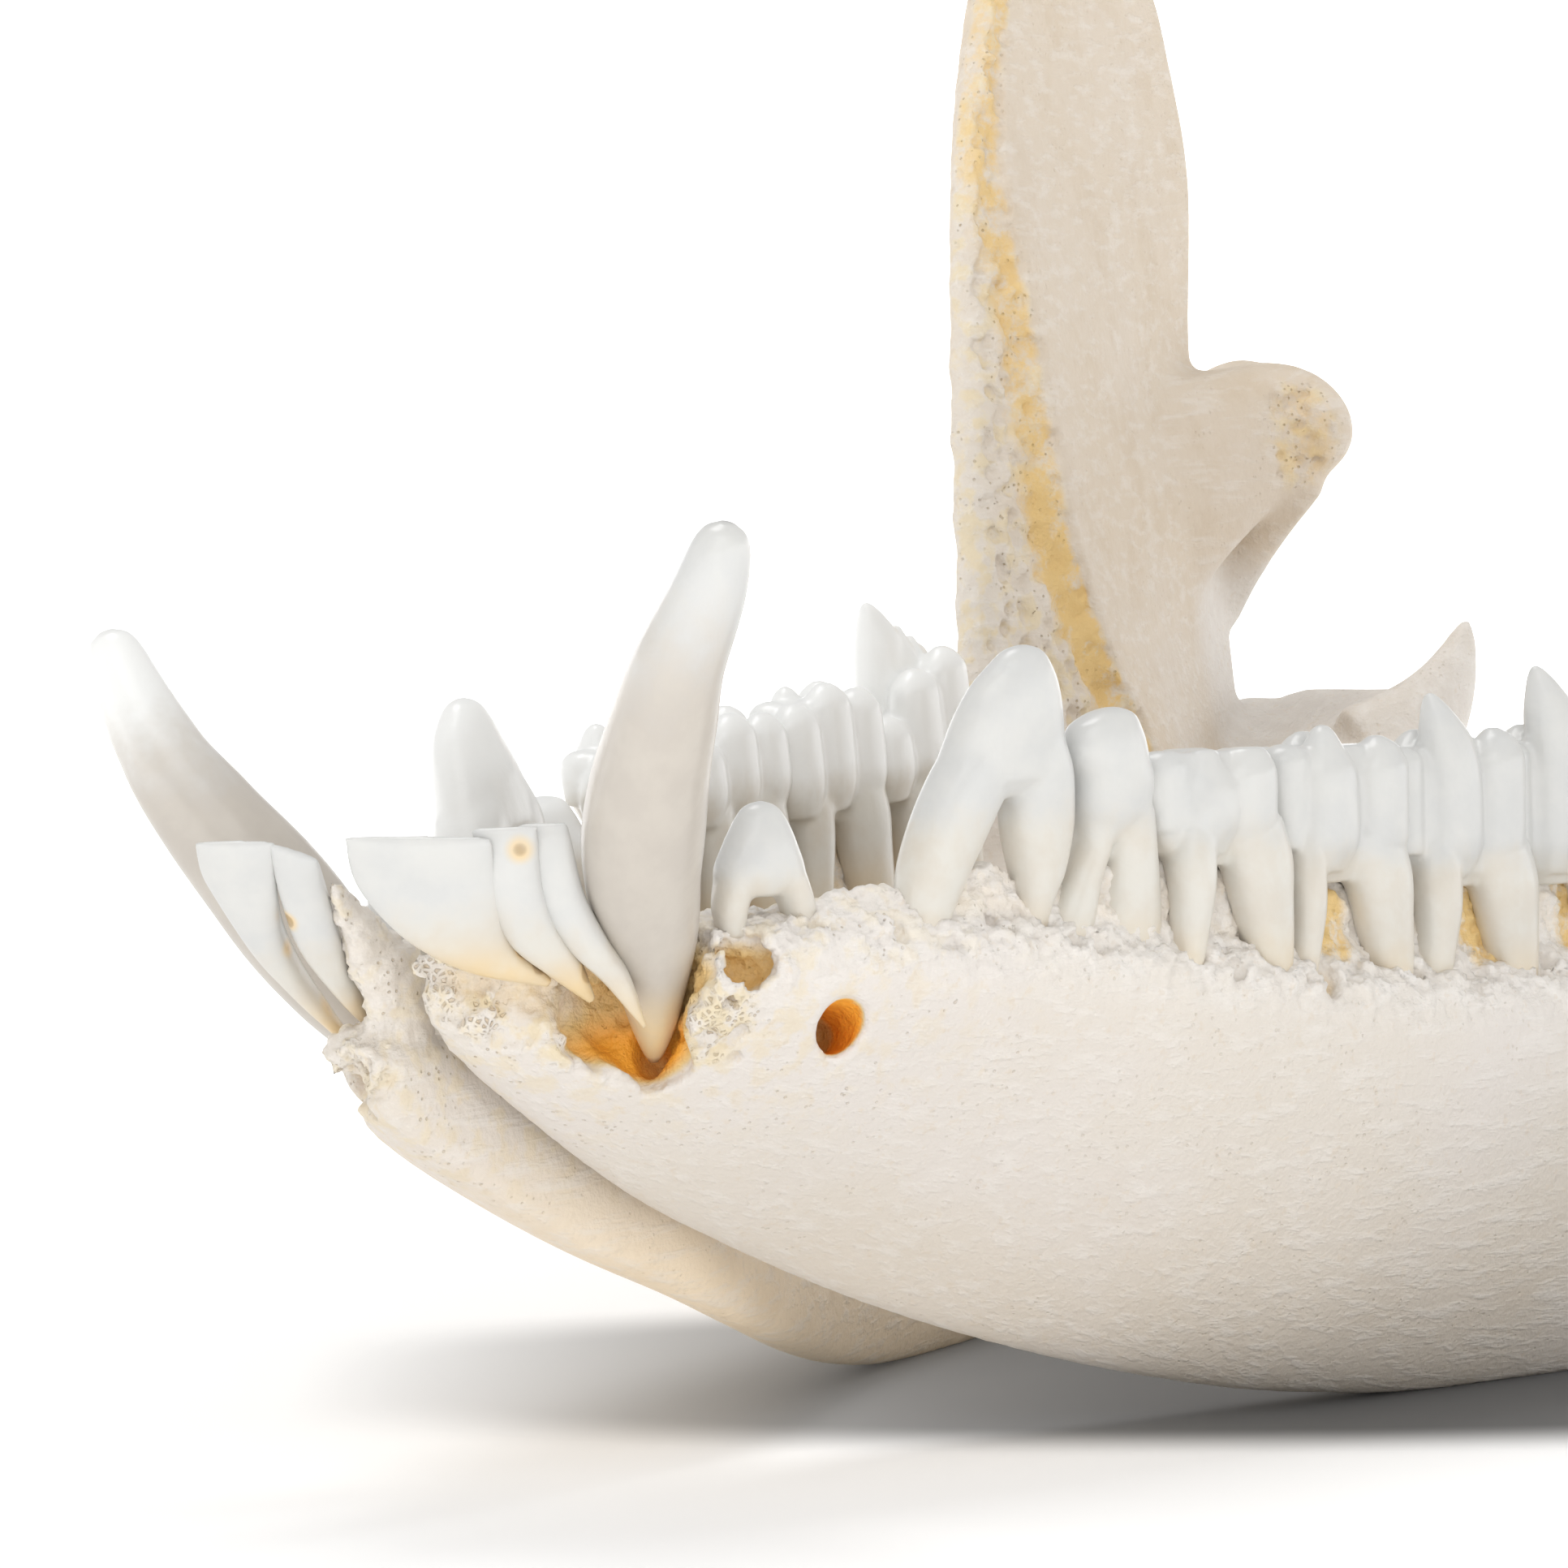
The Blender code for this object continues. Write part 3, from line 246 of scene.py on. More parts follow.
# Brown marks on the incisors: centre and reach
MARKS = {
    "left": (((4.9, -0.1, 22.5), 0.45), ((4.0, 0.9, 19.0), 0.3), ((4.2, 1.5, 18.4), 0.35), ((5.4, 2.6, 18.2), 0.5)),
    "right": (((2.4, -2.6, 23.7), 0.35), ((3.0, -1.7, 22.6), 0.4), ((3.1, 0.3, 20.4), 0.6)),
}

# Mouth of the chin's foramen, bottom of the canine's socket, and the middle of the spongy wall behind it
FORAMEN = (9.0, 11.3, 15.6)
SOCKET = (6.4, 4.6, 16.2)
SOCKET_WALL = Vector((8.1, 6.0, 18.0))

# Channel at the chin and the foramen, each as start, bend, end and radii along it
CHIN_CHANNEL = (Vector((1.2, -1.4, 18.3)), Vector((3.4, 0.5, 17.2)), Vector((6.0, 3.4, 16.5)),
                ((0, 0.6), (0.5, 0.95), (1, 1.1)), ((0, 0.6), (0.5, 0.95), (1, 1.1)))
FORAMEN_TUBE = (Vector((6.5, 12.8, 15.2)), Vector((8.4, 11.7, 15.6)), Vector((11.2, 10.2, 16.15)),
                ((0, 0.7), (0.5, 0.85), (1, 1.15)), ((0, 0.7), (0.5, 0.82), (1, 1.0)))
JAW_FORAMEN = (Vector((20.4, 74.0, 18.0)), Vector((1.6, 4.0, 1.3)))

# Trough along the inner ridge of the ramus: its foot, its length upwards, and its half width
TROUGH_FOOT = 19.0
TROUGH_LENGTH = 31.0
TROUGH_STATIONS = 40
TROUGH_TOP = 52.0

# Hollows in the bone: centre and half sizes of each
HOLLOWS = (
    (Vector((8.4, 2.8, 18.8)), Vector((3.8, 3.2, 4.2))),
    (Vector((5.3, 4.7, 16.7)), Vector((2.3, 2.3, 2.5))),
    (Vector((4.6, 0.8, 19.1)), Vector((1.7, 1.5, 1.3))),
    (Vector((5.6, 5.9, 15.4)), Vector((1.3, 1.2, 1.4))),
    (Vector((8.6, 7.3, 18.2)), Vector((1.3, 1.15, 1.25))),
    (Vector((16.2, 31.9, 17.0)), Vector((1.6, 0.75, 1.6))),
    (Vector((16.9, 40.1, 16.8)), Vector((1.5, 0.7, 1.4))),
    (Vector((17.4, 45.8, 17.2)), Vector((1.4, 1.1, 1.0))),
    (Vector((14.6, 26.3, 18.4)), Vector((1.0, 0.4, 0.7))),
    (Vector((9.6, 10.4, 20.2)), Vector((0.8, 0.5, 0.6))),
    (Vector((11.9, 15.4, 19.8)), Vector((0.8, 0.6, 0.6))),
)

# Spots round which the bone is a fine open mesh, and the gaps between roots that are stained
LACE = ((1.4, -1.2, 18.2), (2.4, -0.7, 17.6), (3.2, 0.2, 17.1), (4.2, 1.2, 16.8), (5.0, 2.6, 15.9), (7.2, 5.9, 15.6),
        (8.1, 5.9, 16.5), (8.6, 6.0, 17.6))
ROOT_DIPS = (33.5, 42.0, 48.0)


def track(points):
    """Return a smooth function through (position, value) points, level past both ends."""
    spots = [float(spot) for spot, _ in points]
    values = [float(value) for _, value in points]
    steps = [(values[i + 1] - values[i]) / (spots[i + 1] - spots[i]) for i in range(len(points) - 1)]
    inner = [2 * a * b / (a + b) if a * b > 0 else 0.0 for a, b in zip(steps, steps[1:])]
    slopes = [steps[0]] + inner + [steps[-1]]

    def value_at(spot):
        if spot <= spots[0]:
            return values[0]
        if spot >= spots[-1]:
            return values[-1]
        i = bisect_right(spots, spot) - 1
        span = spots[i + 1] - spots[i]
        t = (spot - spots[i]) / span
        rise = slopes[i] * span * t * (1 - t) ** 2 - slopes[i + 1] * span * t * t * (1 - t)
        return values[i] + (values[i + 1] - values[i]) * t * t * (3 - 2 * t) + rise

    return value_at


def bezier(start, bend, end, t):
    """Point at t on the curve from start to end that leans towards bend."""
    return start * (1 - t) ** 2 + bend * 2 * t * (1 - t) + end * t * t


def skin_rings(bm, rings):
    """Extrude a circle from ring to ring of points and cap both ends; return the new vertices."""
    count = len(rings[0])
    ring = bmesh.ops.create_circle(bm, cap_ends=True, segments=count, radius=1.0)["verts"]
    edges = list({edge for vert in ring for edge in vert.link_edges})
    for vert, place in zip(ring, rings[0]):
        vert.co = place
    made = list(ring)
    for places in rings[1:]:
        spot = {tuple(vert.co): i for i, vert in enumerate(ring)}
        grown = bmesh.ops.extrude_edge_only(bm, edges=edges)["geom"]
        ring = sorted((g for g in grown if isinstance(g, bmesh.types.BMVert)), key=lambda v: spot[tuple(v.co)])
        fresh = set(ring)
        edges = [g for g in grown if isinstance(g, bmesh.types.BMEdge) and set(g.verts) <= fresh]
        for vert, place in zip(ring, places):
            vert.co = place
        made += ring
    bmesh.ops.contextual_create(bm, geom=edges)
    return made


def horn(bm, start, bend, end, long_radius, side_radius, sides=24, rings=24, out=(1, 0, 0)):
    """A curved horn: its ellipse across `out` and across its own length follows the two radius tracks."""
    long_at, side_at = track(long_radius), track(side_radius)
    start, bend, end, out = Vector(start), Vector(bend), Vector(end), Vector(out)
    sections = []
    for i in range(rings + 1):
        t = i / rings
        along = (bezier(start, bend, end, t + 0.01) - bezier(start, bend, end, t - 0.01)).normalized()
        side = (out - along * out.dot(along)).normalized()
        front = along.cross(side)
        sections.append([bezier(start, bend, end, t) + side * side_at(t) * math.cos(a)
                         + front * long_at(t) * math.sin(a) for a in turns_of(sides)])
    return skin_rings(bm, sections)


def ball(bm, centre, radii, subdivisions=3):
    """An ellipsoid."""
    made = bmesh.ops.create_icosphere(bm, subdivisions=subdivisions, radius=1.0)["verts"]
    shape = Matrix.Translation(centre) @ Matrix.Diagonal((*radii, 1.0))
    bmesh.ops.transform(bm, matrix=shape, verts=made)
    return made


def squared(angle, squareness):
    """Unit squared-off ellipse at an angle, as across and up."""
    power = 2 / squareness
    across = math.copysign(abs(math.cos(angle)) ** power, math.cos(angle))
    up = math.copysign(abs(math.sin(angle)) ** power, math.sin(angle))
    return across, up


def row_frame(y):
    """Spot on the bone's edge under the tooth row, with the directions along the row and out from it."""
    row, edge = track(ROW_X), track(ALVEOLAR_EDGE)
    along = Vector((row(y + 1) - row(y - 1), 2.0, 0)).normalized()
    return Vector((row(y), y, edge(y))), along, Vector((along.y, -along.x, 0))


def canine_rings(levels, sides, extra=0.0, radii=None):
    """Rings of the canine at the given heights, with an extra radius for its socket."""
    x_at, y_at, radius_at = track(CANINE_X), track(CANINE_Y), track(radii or CANINE_RADIUS)
    rings = []
    for z in levels:
        along = Vector((x_at(z + 0.2) - x_at(z - 0.2), y_at(z + 0.2) - y_at(z - 0.2), 0.4)).normalized()
        side = (Vector((1, 0, 0)) - along * along.x).normalized()
        front = along.cross(side)
        radius = radius_at(z)
        rings.append([Vector((x_at(z), y_at(z), z)) + side * math.cos(a) * (radius * CANINE_FLATNESS + extra)
                      + front * math.sin(a) * (radius + extra) for a in turns_of(sides)])
    return rings


def seat(side):
    """Matrix that lays a half, shaped in millimetres, where the CAD model has it."""
    turned = Euler([math.radians(a) for a in TURN[side]]).to_matrix().to_4x4()
    flip = -1.0 if side == "right" else 1.0
    move = Matrix.Diagonal((flip, 1, 1, 1)) @ Matrix.Translation(PIVOT + Vector((*SHIFT[side], 0))) @ turned
    move = Matrix.Scale(MM, 4) @ move @ Matrix.Translation(-PIVOT)
    spots = [move @ point for ring in canine_rings(SOLID_LEVELS, 12, 0.0, SOLID_RADIUS) for point in ring]
    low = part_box("canine_" + side)[0]
    lift = Vector([low[i] - min(spot[i] for spot in spots) for i in range(3)])
    return Matrix.Translation(lift) @ move


def settle(obj):
    """Replace an object's mesh with its evaluated one."""
    graph = bpy.context.evaluated_depsgraph_get()
    graph.update()
    mesh = bpy.data.meshes.new_from_object(obj.evaluated_get(graph))
    old = obj.data
    obj.modifiers.clear()
    obj.data = mesh
    bpy.data.meshes.remove(old)


def raw_object(name, bm):
    """Turn a bmesh into an object of the scene, with its faces pointing out."""
    bmesh.ops.recalc_face_normals(bm, faces=bm.faces)
    mesh = bpy.data.meshes.new(name)
    bm.to_mesh(mesh)
    bm.free()
    obj = bpy.data.objects.new(name, mesh)
    bpy.context.scene.collection.objects.link(obj)
    return obj


def melt(obj, voxel, smoothing, factor=0.5):
    """Fuse an object's closed shells into one skin and soften it."""
    remesh = obj.modifiers.new("melt", 'REMESH')
    remesh.mode = 'VOXEL'
    remesh.voxel_size = voxel
    if smoothing:
        soften = obj.modifiers.new("soften", 'SMOOTH')
        soften.factor = factor
        soften.iterations = smoothing
    settle(obj)


def drop_crumbs(obj):
    """Keep only the largest connected piece of an object."""
    bm = bmesh.new()
    bm.from_mesh(obj.data)
    bm.verts.ensure_lookup_table()
    group = [0] * len(bm.verts)
    sizes = [0]
    for vert in bm.verts:
        if group[vert.index]:
            continue
        sizes.append(0)
        group[vert.index] = len(sizes) - 1
        queue = [vert]
        while queue:
            here = queue.pop()
            sizes[-1] += 1
            for edge in here.link_edges:
                other = edge.other_vert(here)
                if not group[other.index]:
                    group[other.index] = len(sizes) - 1
                    queue.append(other)
    main = sizes.index(max(sizes))
    bmesh.ops.delete(bm, geom=[vert for vert in bm.verts if group[vert.index] != main], context='VERTS')
    bm.to_mesh(obj.data)
    bm.free()


def crumple(mesh, size, amount):
    """Make a skin uneven by noise of a size, by an amount, both in millimetres, but for the round foramen."""
    places = spots_of(mesh)
    normals = numpy.empty(len(mesh.vertices) * 3)
    mesh.vertices.foreach_get("normal", normals)
    calm = smooth(numpy.linalg.norm(places - numpy.array(FORAMEN), axis=1), 2.6, 4.0)
    for place, normal, share in zip(places, normals.reshape(-1, 3), calm):
        spot = Vector(place) / size
        place += normal * amount * share * (noise.noise(spot) + 0.5 * noise.noise(spot * 2.7))
    mesh.vertices.foreach_set("co", places.ravel())


def thin_out(obj, faces):
    """Drop triangles where the skin is flat, down to a number."""
    obj.data.calc_loop_triangles()
    count = len(obj.data.loop_triangles)
    if count > faces:
        thin = obj.modifiers.new("thin", 'DECIMATE')
        thin.ratio = faces / count
        settle(obj)


def spots_of(mesh):
    """The places of a mesh's vertices as an array."""
    places = numpy.empty(len(mesh.vertices) * 3)
    mesh.vertices.foreach_get("co", places)
    return places.reshape(-1, 3)


def put_attribute(mesh, name, values):
    """Keep one number for each vertex."""
    layer = mesh.attributes.new(name, 'FLOAT', 'POINT')
    layer.data.foreach_set("value", numpy.asarray(values, dtype=numpy.float32))


def dress(obj, side, node, slot, finish):
    """Lay a finished piece in its place, give it its finish, hang it under the root empty and hide the CAD part it
    stands for.
    """
    obj.data.transform(seat(side))
    if side == "right":
        obj.data.flip_normals()
    low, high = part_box(node)
    room = 0.0 if slot == "bone" else 0.0004
    places = spots_of(obj.data)
    places = numpy.clip(places, numpy.array(low) - room, numpy.array(high) + room)
    places = numpy.clip(places, *numpy.array(CAD_BOX))
    obj.data.vertices.foreach_set("co", places.ravel())
    obj.data.update()
    obj.data.shade_smooth()
    obj.data.materials.clear()
    obj.data.materials.append(finish)
    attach(obj, "root")
    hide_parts(node)
    return obj


class Wire:
    """A shader socket that Python's operators can work on."""

    def __init__(self, board, socket):
        self.board = board
        self.socket = socket

    def work(self, operation, first, second):
        return self.board.node("ShaderNodeMath", {"operation": operation}, {0: first, 1: second})

    def __add__(self, other):
        return self.work('ADD', self, other)

    def __radd__(self, other):
        return self.work('ADD', other, self)

    def __sub__(self, other):
        return self.work('SUBTRACT', self, other)

    def __rsub__(self, other):
        return self.work('SUBTRACT', other, self)

    def __mul__(self, other):
        return self.work('MULTIPLY', self, other)

    def __rmul__(self, other):
        return self.work('MULTIPLY', other, self)

    def __truediv__(self, other):
        return self.work('DIVIDE', self, other)

    def __pow__(self, other):
        return self.work('POWER', self, other)


class Board:
    """The nodes of one material."""

    def __init__(self, name):
        self.material = bpy.data.materials.new(name)
        self.material.use_nodes = True
        self.tree = self.material.node_tree
        self.shader = self.tree.nodes["Principled BSDF"]
        self.place = self.node("ShaderNodeTexCoord", {}, {}, "Object")

    def node(self, kind, settings, inputs, output=0):
        """Add a node, set it up, feed its sockets and return one of its outputs."""
        made = self.tree.nodes.new(kind)
        for key, value in settings.items():
            if key == "stops":
                ramp = made.color_ramp
                while len(ramp.elements) < len(value):
                    ramp.elements.new(0.5)
                for element, (position, colour) in zip(ramp.elements, value):
                    element.position = position
                    element.color = (*colour, 1.0)
            else:
                setattr(made, key, value)
        for key, value in inputs.items():
            self.feed(made.inputs[key], value)
        return Wire(self, made.outputs[output])

    def feed(self, socket, value):
        """Link a wire to a socket, or set the socket's own value."""
        if isinstance(value, Wire):
            self.tree.links.new(value.socket, socket)
        elif socket.type == 'RGBA' and len(value) == 3:
            socket.default_value = (*value, 1.0)
        else:
            socket.default_value = value

    def shade(self, **inputs):
        """Feed the surface shader, with spaces in place of underscores."""
        for key, value in inputs.items():
            self.feed(self.shader.inputs[key.replace("_", " ")], value)

    def grain(self, size, detail=2.0, roughness=0.5, place=None):
        """Soft noise from 0 to 1 whose lumps are about a size in millimetres."""
        return self.node("ShaderNodeTexNoise", {}, {"Vector": place or self.place, "Scale": 1 / (size * MM),
                                                    "Detail": detail, "Roughness": roughness}, "Fac")

    def cells(self, size, feature='F1'):
        """Distance from the middle, or from the border, of cells about a size in millimetres."""
        return self.node("ShaderNodeTexVoronoi", {"feature": feature}, {"Vector": self.place, "Scale": 1 / (size * MM)},
                         "Distance")

    def step(self, value, low, high, to_low=0.0, to_high=1.0):
        """Smooth step of a value between two limits."""
        return self.node("ShaderNodeMapRange", {"interpolation_type": 'SMOOTHSTEP'},
                         {"Value": value, "From Min": low, "From Max": high, "To Min": to_low, "To Max": to_high})

    def blend(self, factor, first, second):
        """Mix two colours."""
        made = self.tree.nodes.new("ShaderNodeMix")
        made.data_type = 'RGBA'
        for key, value in ((0, factor), (6, first), (7, second)):
            self.feed(made.inputs[key], value)
        return Wire(self, made.outputs[2])

    def kept(self, name):
        """A number kept on the mesh."""
        return self.node("ShaderNodeAttribute", {"attribute_name": name}, {}, "Fac")

    def bump(self, height, strength, distance):
        """Normal from a height, its distance in millimetres."""
        return self.node("ShaderNodeBump", {}, {"Height": height, "Strength": strength,
                                                "Distance": distance * MM}, "Normal")


def bone_finish(settings):
    """Dry bleached bone: ivory with mottling, pores, whiter grainy edges, warm hollows with amber stain, beige painted
    shade low down and over the right bone, and painted light at the angle and on the right bone's lower inner face.
    """
    board = Board("bleached_bone")
    names = ("amber", "porous", "warm", "grainy", "honey", "lace", "sandy")
    amber, porous, warm, grainy, honey, lace, sandy = (board.kept(name) for name in names)
    broad = board.grain(9.0, 3.0)
    fine = board.grain(0.9, 3.0, 0.6)
    speck = board.grain(0.28, 2.0, 0.6)
    worn = board.grain(1.1, 4.0, 0.7)
    colour = board.blend(board.step(broad, 0.35, 0.65), settings.ivory, settings.cream)
    # Beige where warm is set: the ramus behind, and painted shade lower down and over the whole right bone
    colour = board.blend(warm * board.step(broad, 0.2, 0.8, 0.65, 1.0), colour, settings.beige)
    # Painted light: sand colour lightens the lower inner face of the right bone
    colour = board.blend(sandy * 0.8, colour, settings.sand)
    colour = board.blend(grainy * board.step(fine, 0.4, 0.7, 0.35, 1.0), colour, settings.chalk)
    patch = board.step(board.grain(0.9, 3.0), 0.46, 0.62)
    colour = board.blend(porous * patch * 0.65, colour, settings.straw)
    tan = board.step(board.grain(3.2, 4.0, 0.65), 0.48, 0.66)
    colour = board.blend(warm * tan * 0.16, colour, settings.pore)
    stretched = board.node("ShaderNodeVectorMath", {"operation": 'MULTIPLY'}, {0: board.place, 1: (1.0, 0.16, 1.0)})
    streaks = board.step(board.grain(0.5, 3.0, 0.6, stretched), 0.45, 0.7)
    colour = board.blend(streaks * 0.35, colour, settings.chalk)
    freckles = board.step(board.grain(0.45, 2.0, 0.6), 0.58, 0.72)
    colour = board.blend(freckles * 0.35, colour, settings.beige)
    pores = board.step(board.cells(0.36) + (speck - 0.5) * 0.2, 0.08, 0.2, 1.0, 0.0)
    some = board.step(board.grain(2.4, 1.0), 0.42, 0.62)
    pore_mask = pores * (porous * 0.8 + 0.2) * some
    colour = board.blend(pore_mask * 0.7, colour, settings.pore)
    colour = board.blend(board.step(honey * board.step(worn, 0.3, 0.62, 0.25, 1.25), 0.1, 0.95), colour, settings.honey)
    holes = board.step(board.cells(0.26, 'DISTANCE_TO_EDGE'), 0.14, 0.3) * board.step(broad + worn, 0.95, 1.15) * lace
    colour = board.blend(lace * board.step(fine, 0.4, 0.6) * 0.5, colour, settings.straw)
    colour = board.blend(holes * 0.6, colour, settings.pore)
    stain = board.step(amber + (worn - 0.5) * 0.9 * amber, 0.03, 0.45)
    colour = board.blend(stain, colour, board.blend(board.step(amber, 0.3, 0.9), settings.honey, settings.amber))
    height = fine * 0.4 + speck * 0.45 + streaks * 0.25 - pore_mask * 1.3 - holes * 1.2 + worn * stain * 2.2
    board.shade(Base_Color=colour, Roughness=board.step(fine, 0.2, 0.8, 0.5, 0.7),
                Normal=board.bump(height, 0.6, 0.2))
    board.shader.inputs["Specular IOR Level"].default_value = 0.35
    return board.material


def enamel_finish(name, settings):
    """Glossy, faintly blue enamel that turns to warm, duller root below the neck; the teeth of the right half get
    whiter enamel as painted light.
    """
    board = Board(name)
    root, stain = board.kept("root"), board.kept("stain")
    cloud = board.grain(1.8, 3.0, 0.6)
    colour = board.blend(board.step(cloud, 0.3, 0.7), settings.enamel, settings.milk)
    # Painted light: teeth of the right half, away from the middle, are given whiter enamel
    far = board.step(board.node("ShaderNodeSeparateXYZ", {}, {0: board.place}), -0.006, -0.012)
    colour = board.blend(far * 0.9, colour, settings.painted_light_enamel)
    darker = settings.ivory_tooth if name == "canine_enamel" else settings.root
    share = 0.25 if name == "canine_enamel" else 1.0
    mottled = board.blend(board.step(cloud, 0.35, 0.65) * share, darker, settings.dentine)
    colour = board.blend(board.step(root + (cloud - 0.5) * 0.8, 0.1, 0.9), colour, mottled)
    tinted = board.blend(board.step(stain, 0.75, 1.0), settings.honey, settings.umber)
    colour = board.blend(stain * board.step(cloud, 0.2, 0.8, 0.6, 1.0), colour, tinted)
    streak = board.grain(0.5, 2.0)
    board.shade(Base_Color=colour, Roughness=0.3, Normal=board.bump(streak * 0.6 + cloud, 0.2, 0.15))
    board.shader.inputs["Coat Weight"].default_value = 0.12
    board.shader.inputs["Coat Roughness"].default_value = 0.12
    return board.material


def turns_of(sides):
    """Angles of a closed ring's points."""
    return [2 * math.pi * k / sides for k in range(sides)]


def bone_blank(bm, side):
    """Plain closed shells of one jaw bone, all overlapping."""
    skin_rings(bm, body_rings())
    skin_rings(bm, ramus_rings())
    reach = (CONDYLE_OUTER - CONDYLE_INNER) * CONDYLE_OVERHANG
    horn(bm, CONDYLE_INNER - reach, (CONDYLE_INNER + CONDYLE_OUTER) / 2, CONDYLE_OUTER + reach,
         CONDYLE_RADIUS, CONDYLE_RADIUS, out=(0, 0, 1))
    skin_rings(bm, neck_rings())
    horn(bm, *BUTTRESS, BUTTRESS_HALF_DEEP, BUTTRESS_HALF_ACROSS, 20, 12)
    skin_rings(bm, shelf_rings())
    horn(bm, *POINT, POINT_HALF_LONG, POINT_HALF_THICK, 20, 20)
    skin_rings(bm, ridge_rings(side))
    if side == "right":
        horn(bm, *BLADE, BLADE_HALF_DEEP, BLADE_HALF_THICK, 16, 20)


def body_rings():
    """Sections of the bone's body from the chin to the foot of the ramus."""
    top, low = track(ALVEOLAR_EDGE), track(LOWER_EDGE)
    middle_top, middle_low, half = track(MIDDLE_TOP), track(MIDDLE_LOW), track(HALF_THICKNESS)
    low_share = track(LOWER_SHARE)
    rings = []
    for i in range(BODY_STATIONS + 1):
        y = BODY_FRONT + BODY_LENGTH * i / BODY_STATIONS
        ring = []
        for turn in turns_of(BODY_SIDES):
            across, up = squared(turn, BODY_SQUARENESS)
            share = (up + 1) / 2
            x = middle_low(y) + (middle_top(y) - middle_low(y)) * share
            x += across * half(y) * (low_share(y) + (1 - low_share(y)) * share ** FULLNESS)
            ring.append(Vector((max(x, SYMPHYSIS), y, low(y) + (top(y) - low(y)) * share)))
        rings.append(ring)
    return rings


def neck_rings():
    """Sections of the neck that carries the condyle."""
    across_at, up_at = track(NECK_HALF_ACROSS), track(NECK_HALF_UP)
    rings = []
    for i in range(NECK_STATIONS + 1):
        t = i / NECK_STATIONS
        centre = NECK_START.lerp(NECK_END, t)
        ring = [squared(turn, 2.3) for turn in turns_of(NECK_SIDES)]
        rings.append([centre + Vector((a * across_at(t), 0, u * up_at(t))) for a, u in ring])
    return rings


def shelf_rings():
    """Sections of the shelf that the angle of the jaw turns inwards."""
    inner_x, top_z, outer_x = track(SHELF_INNER_X), track(SHELF_TOP_Z), track(MIDDLE_LOW)
    rings = []
    for i in range(SHELF_STATIONS + 1):
        y = SHELF_FRONT + SHELF_LENGTH * i / SHELF_STATIONS
        middle = (inner_x(y) + outer_x(y)) / 2
        half_across = (outer_x(y) - inner_x(y)) / 2 + SHELF_OVERLAP
        ring = []
        for turn in turns_of(SHELF_SIDES):
            across, up = squared(turn, 2.4)
            z = top_z(y) - SHELF_HALF_THICK - SHELF_SAG * (1 - across ** 2) + up * SHELF_HALF_THICK
            ring.append(Vector((middle + across * half_across, y, z)))
        rings.append(ring)
    return rings


def ridge_rings(side):
    """Sections of the thin ridge of bone between the roots."""
    edge, row, ridge = track(ALVEOLAR_EDGE), track(ROW_X), track(ROOT_RIDGE)
    rings = []
    for i in range(RIDGE_STATIONS + 1):
        y = RIDGE_FRONT + RIDGE_LENGTH * i / RIDGE_STATIONS
        wave = 0.25 * math.sin(y * 2.3) * math.sin(y * 0.9)
        grown = min(1.0, max(0.0, (y - LIFT_START) / LIFT_GROWTH))
        high = ridge(y) + wave + RIDGE_LIFT[side] * grown + RIDGE_SUNK
        x = row(y) + RIDGE_ASIDE[side]
        rings.append([Vector((x + RIDGE_HALF_THICK * math.cos(a), y, edge(y) - RIDGE_SUNK + high * math.sin(a)))
                      for a in turns_of(RIDGE_SIDES)])
    return rings


def ramus_rings():
    """Sections of the thin upright plate with its thick outer crest in front."""
    crest_x, crest_y = track(CREST_X), track(CREST_Y)
    ridge_x, ridge_y = track(RIDGE_X), track(RIDGE_Y)
    rear_x, rear_y = track(REAR_X), track(REAR_Y)
    rings = []
    for i in range(RAMUS_STATIONS + 1):
        z = RAMUS_FOOT + RAMUS_HEIGHT * (1 - (1 - i / RAMUS_STATIONS) ** RAMUS_CROWDING)
        crest = Vector((crest_x(z), crest_y(z), z))
        ridge = Vector((ridge_x(z), ridge_y(z), z))
        rear = Vector((rear_x(z), rear_y(z), z))
        out = Vector((rear.y - ridge.y, ridge.x - rear.x, 0)).normalized()
        inner = [ridge.lerp(rear, t) for t in INNER_SHARES]
        outer = [ridge.lerp(rear, t) + out * PLATE for t in OUTER_SHARES]
        hollow = crest.lerp(ridge, 0.55) + out * (FLARE + 0.2)
        rings.append([crest - out * FLARE * 0.3, crest.lerp(ridge, 0.5)] + inner + [rear + out * PLATE / 2] + outer
                     + [hollow, crest + out * FLARE * 0.5])
    return rings


def hollow_cutters(bm):
    """Sockets, foramina and the long trough along the inner ridge of the ramus."""
    for centre, radii in HOLLOWS:
        ball(bm, centre, radii)
    skin_rings(bm, canine_rings([13.4 + 0.8 * i for i in range(12)], 24, 0.3))
    horn(bm, *CHIN_CHANNEL, 16, 14)
    horn(bm, *FORAMEN_TUBE, 24, 12, (0, 0, 1))
    ball(bm, *JAW_FORAMEN)
    crest_at, ridge_at = line_up(CREST_X, CREST_Y), line_up(RIDGE_X, RIDGE_Y)
    rings = []
    for i in range(TROUGH_STATIONS + 1):
        z = TROUGH_FOOT + TROUGH_LENGTH * i / TROUGH_STATIONS
        ridge = ridge_at(z)
        along = (crest_at(z) - ridge).normalized()
        outward = Vector((-along.y, along.x, 0))
        if outward.x > 0:
            outward = -outward
        size = 0.35 + 0.75 * min(1.0, (TROUGH_TOP - z) / 22.0)
        centre = ridge + along * size * 1.02 + outward * 0.35
        rings.append([centre + along * math.cos(a) * size * 1.15 + outward * math.sin(a) * size for a in turns_of(16)])
    skin_rings(bm, rings)


def line_up(across, back):
    """Return a function that gives the spot of an upright line at a height."""
    x_at, y_at = track(across), track(back)
    return lambda z: Vector((x_at(z), y_at(z), z))


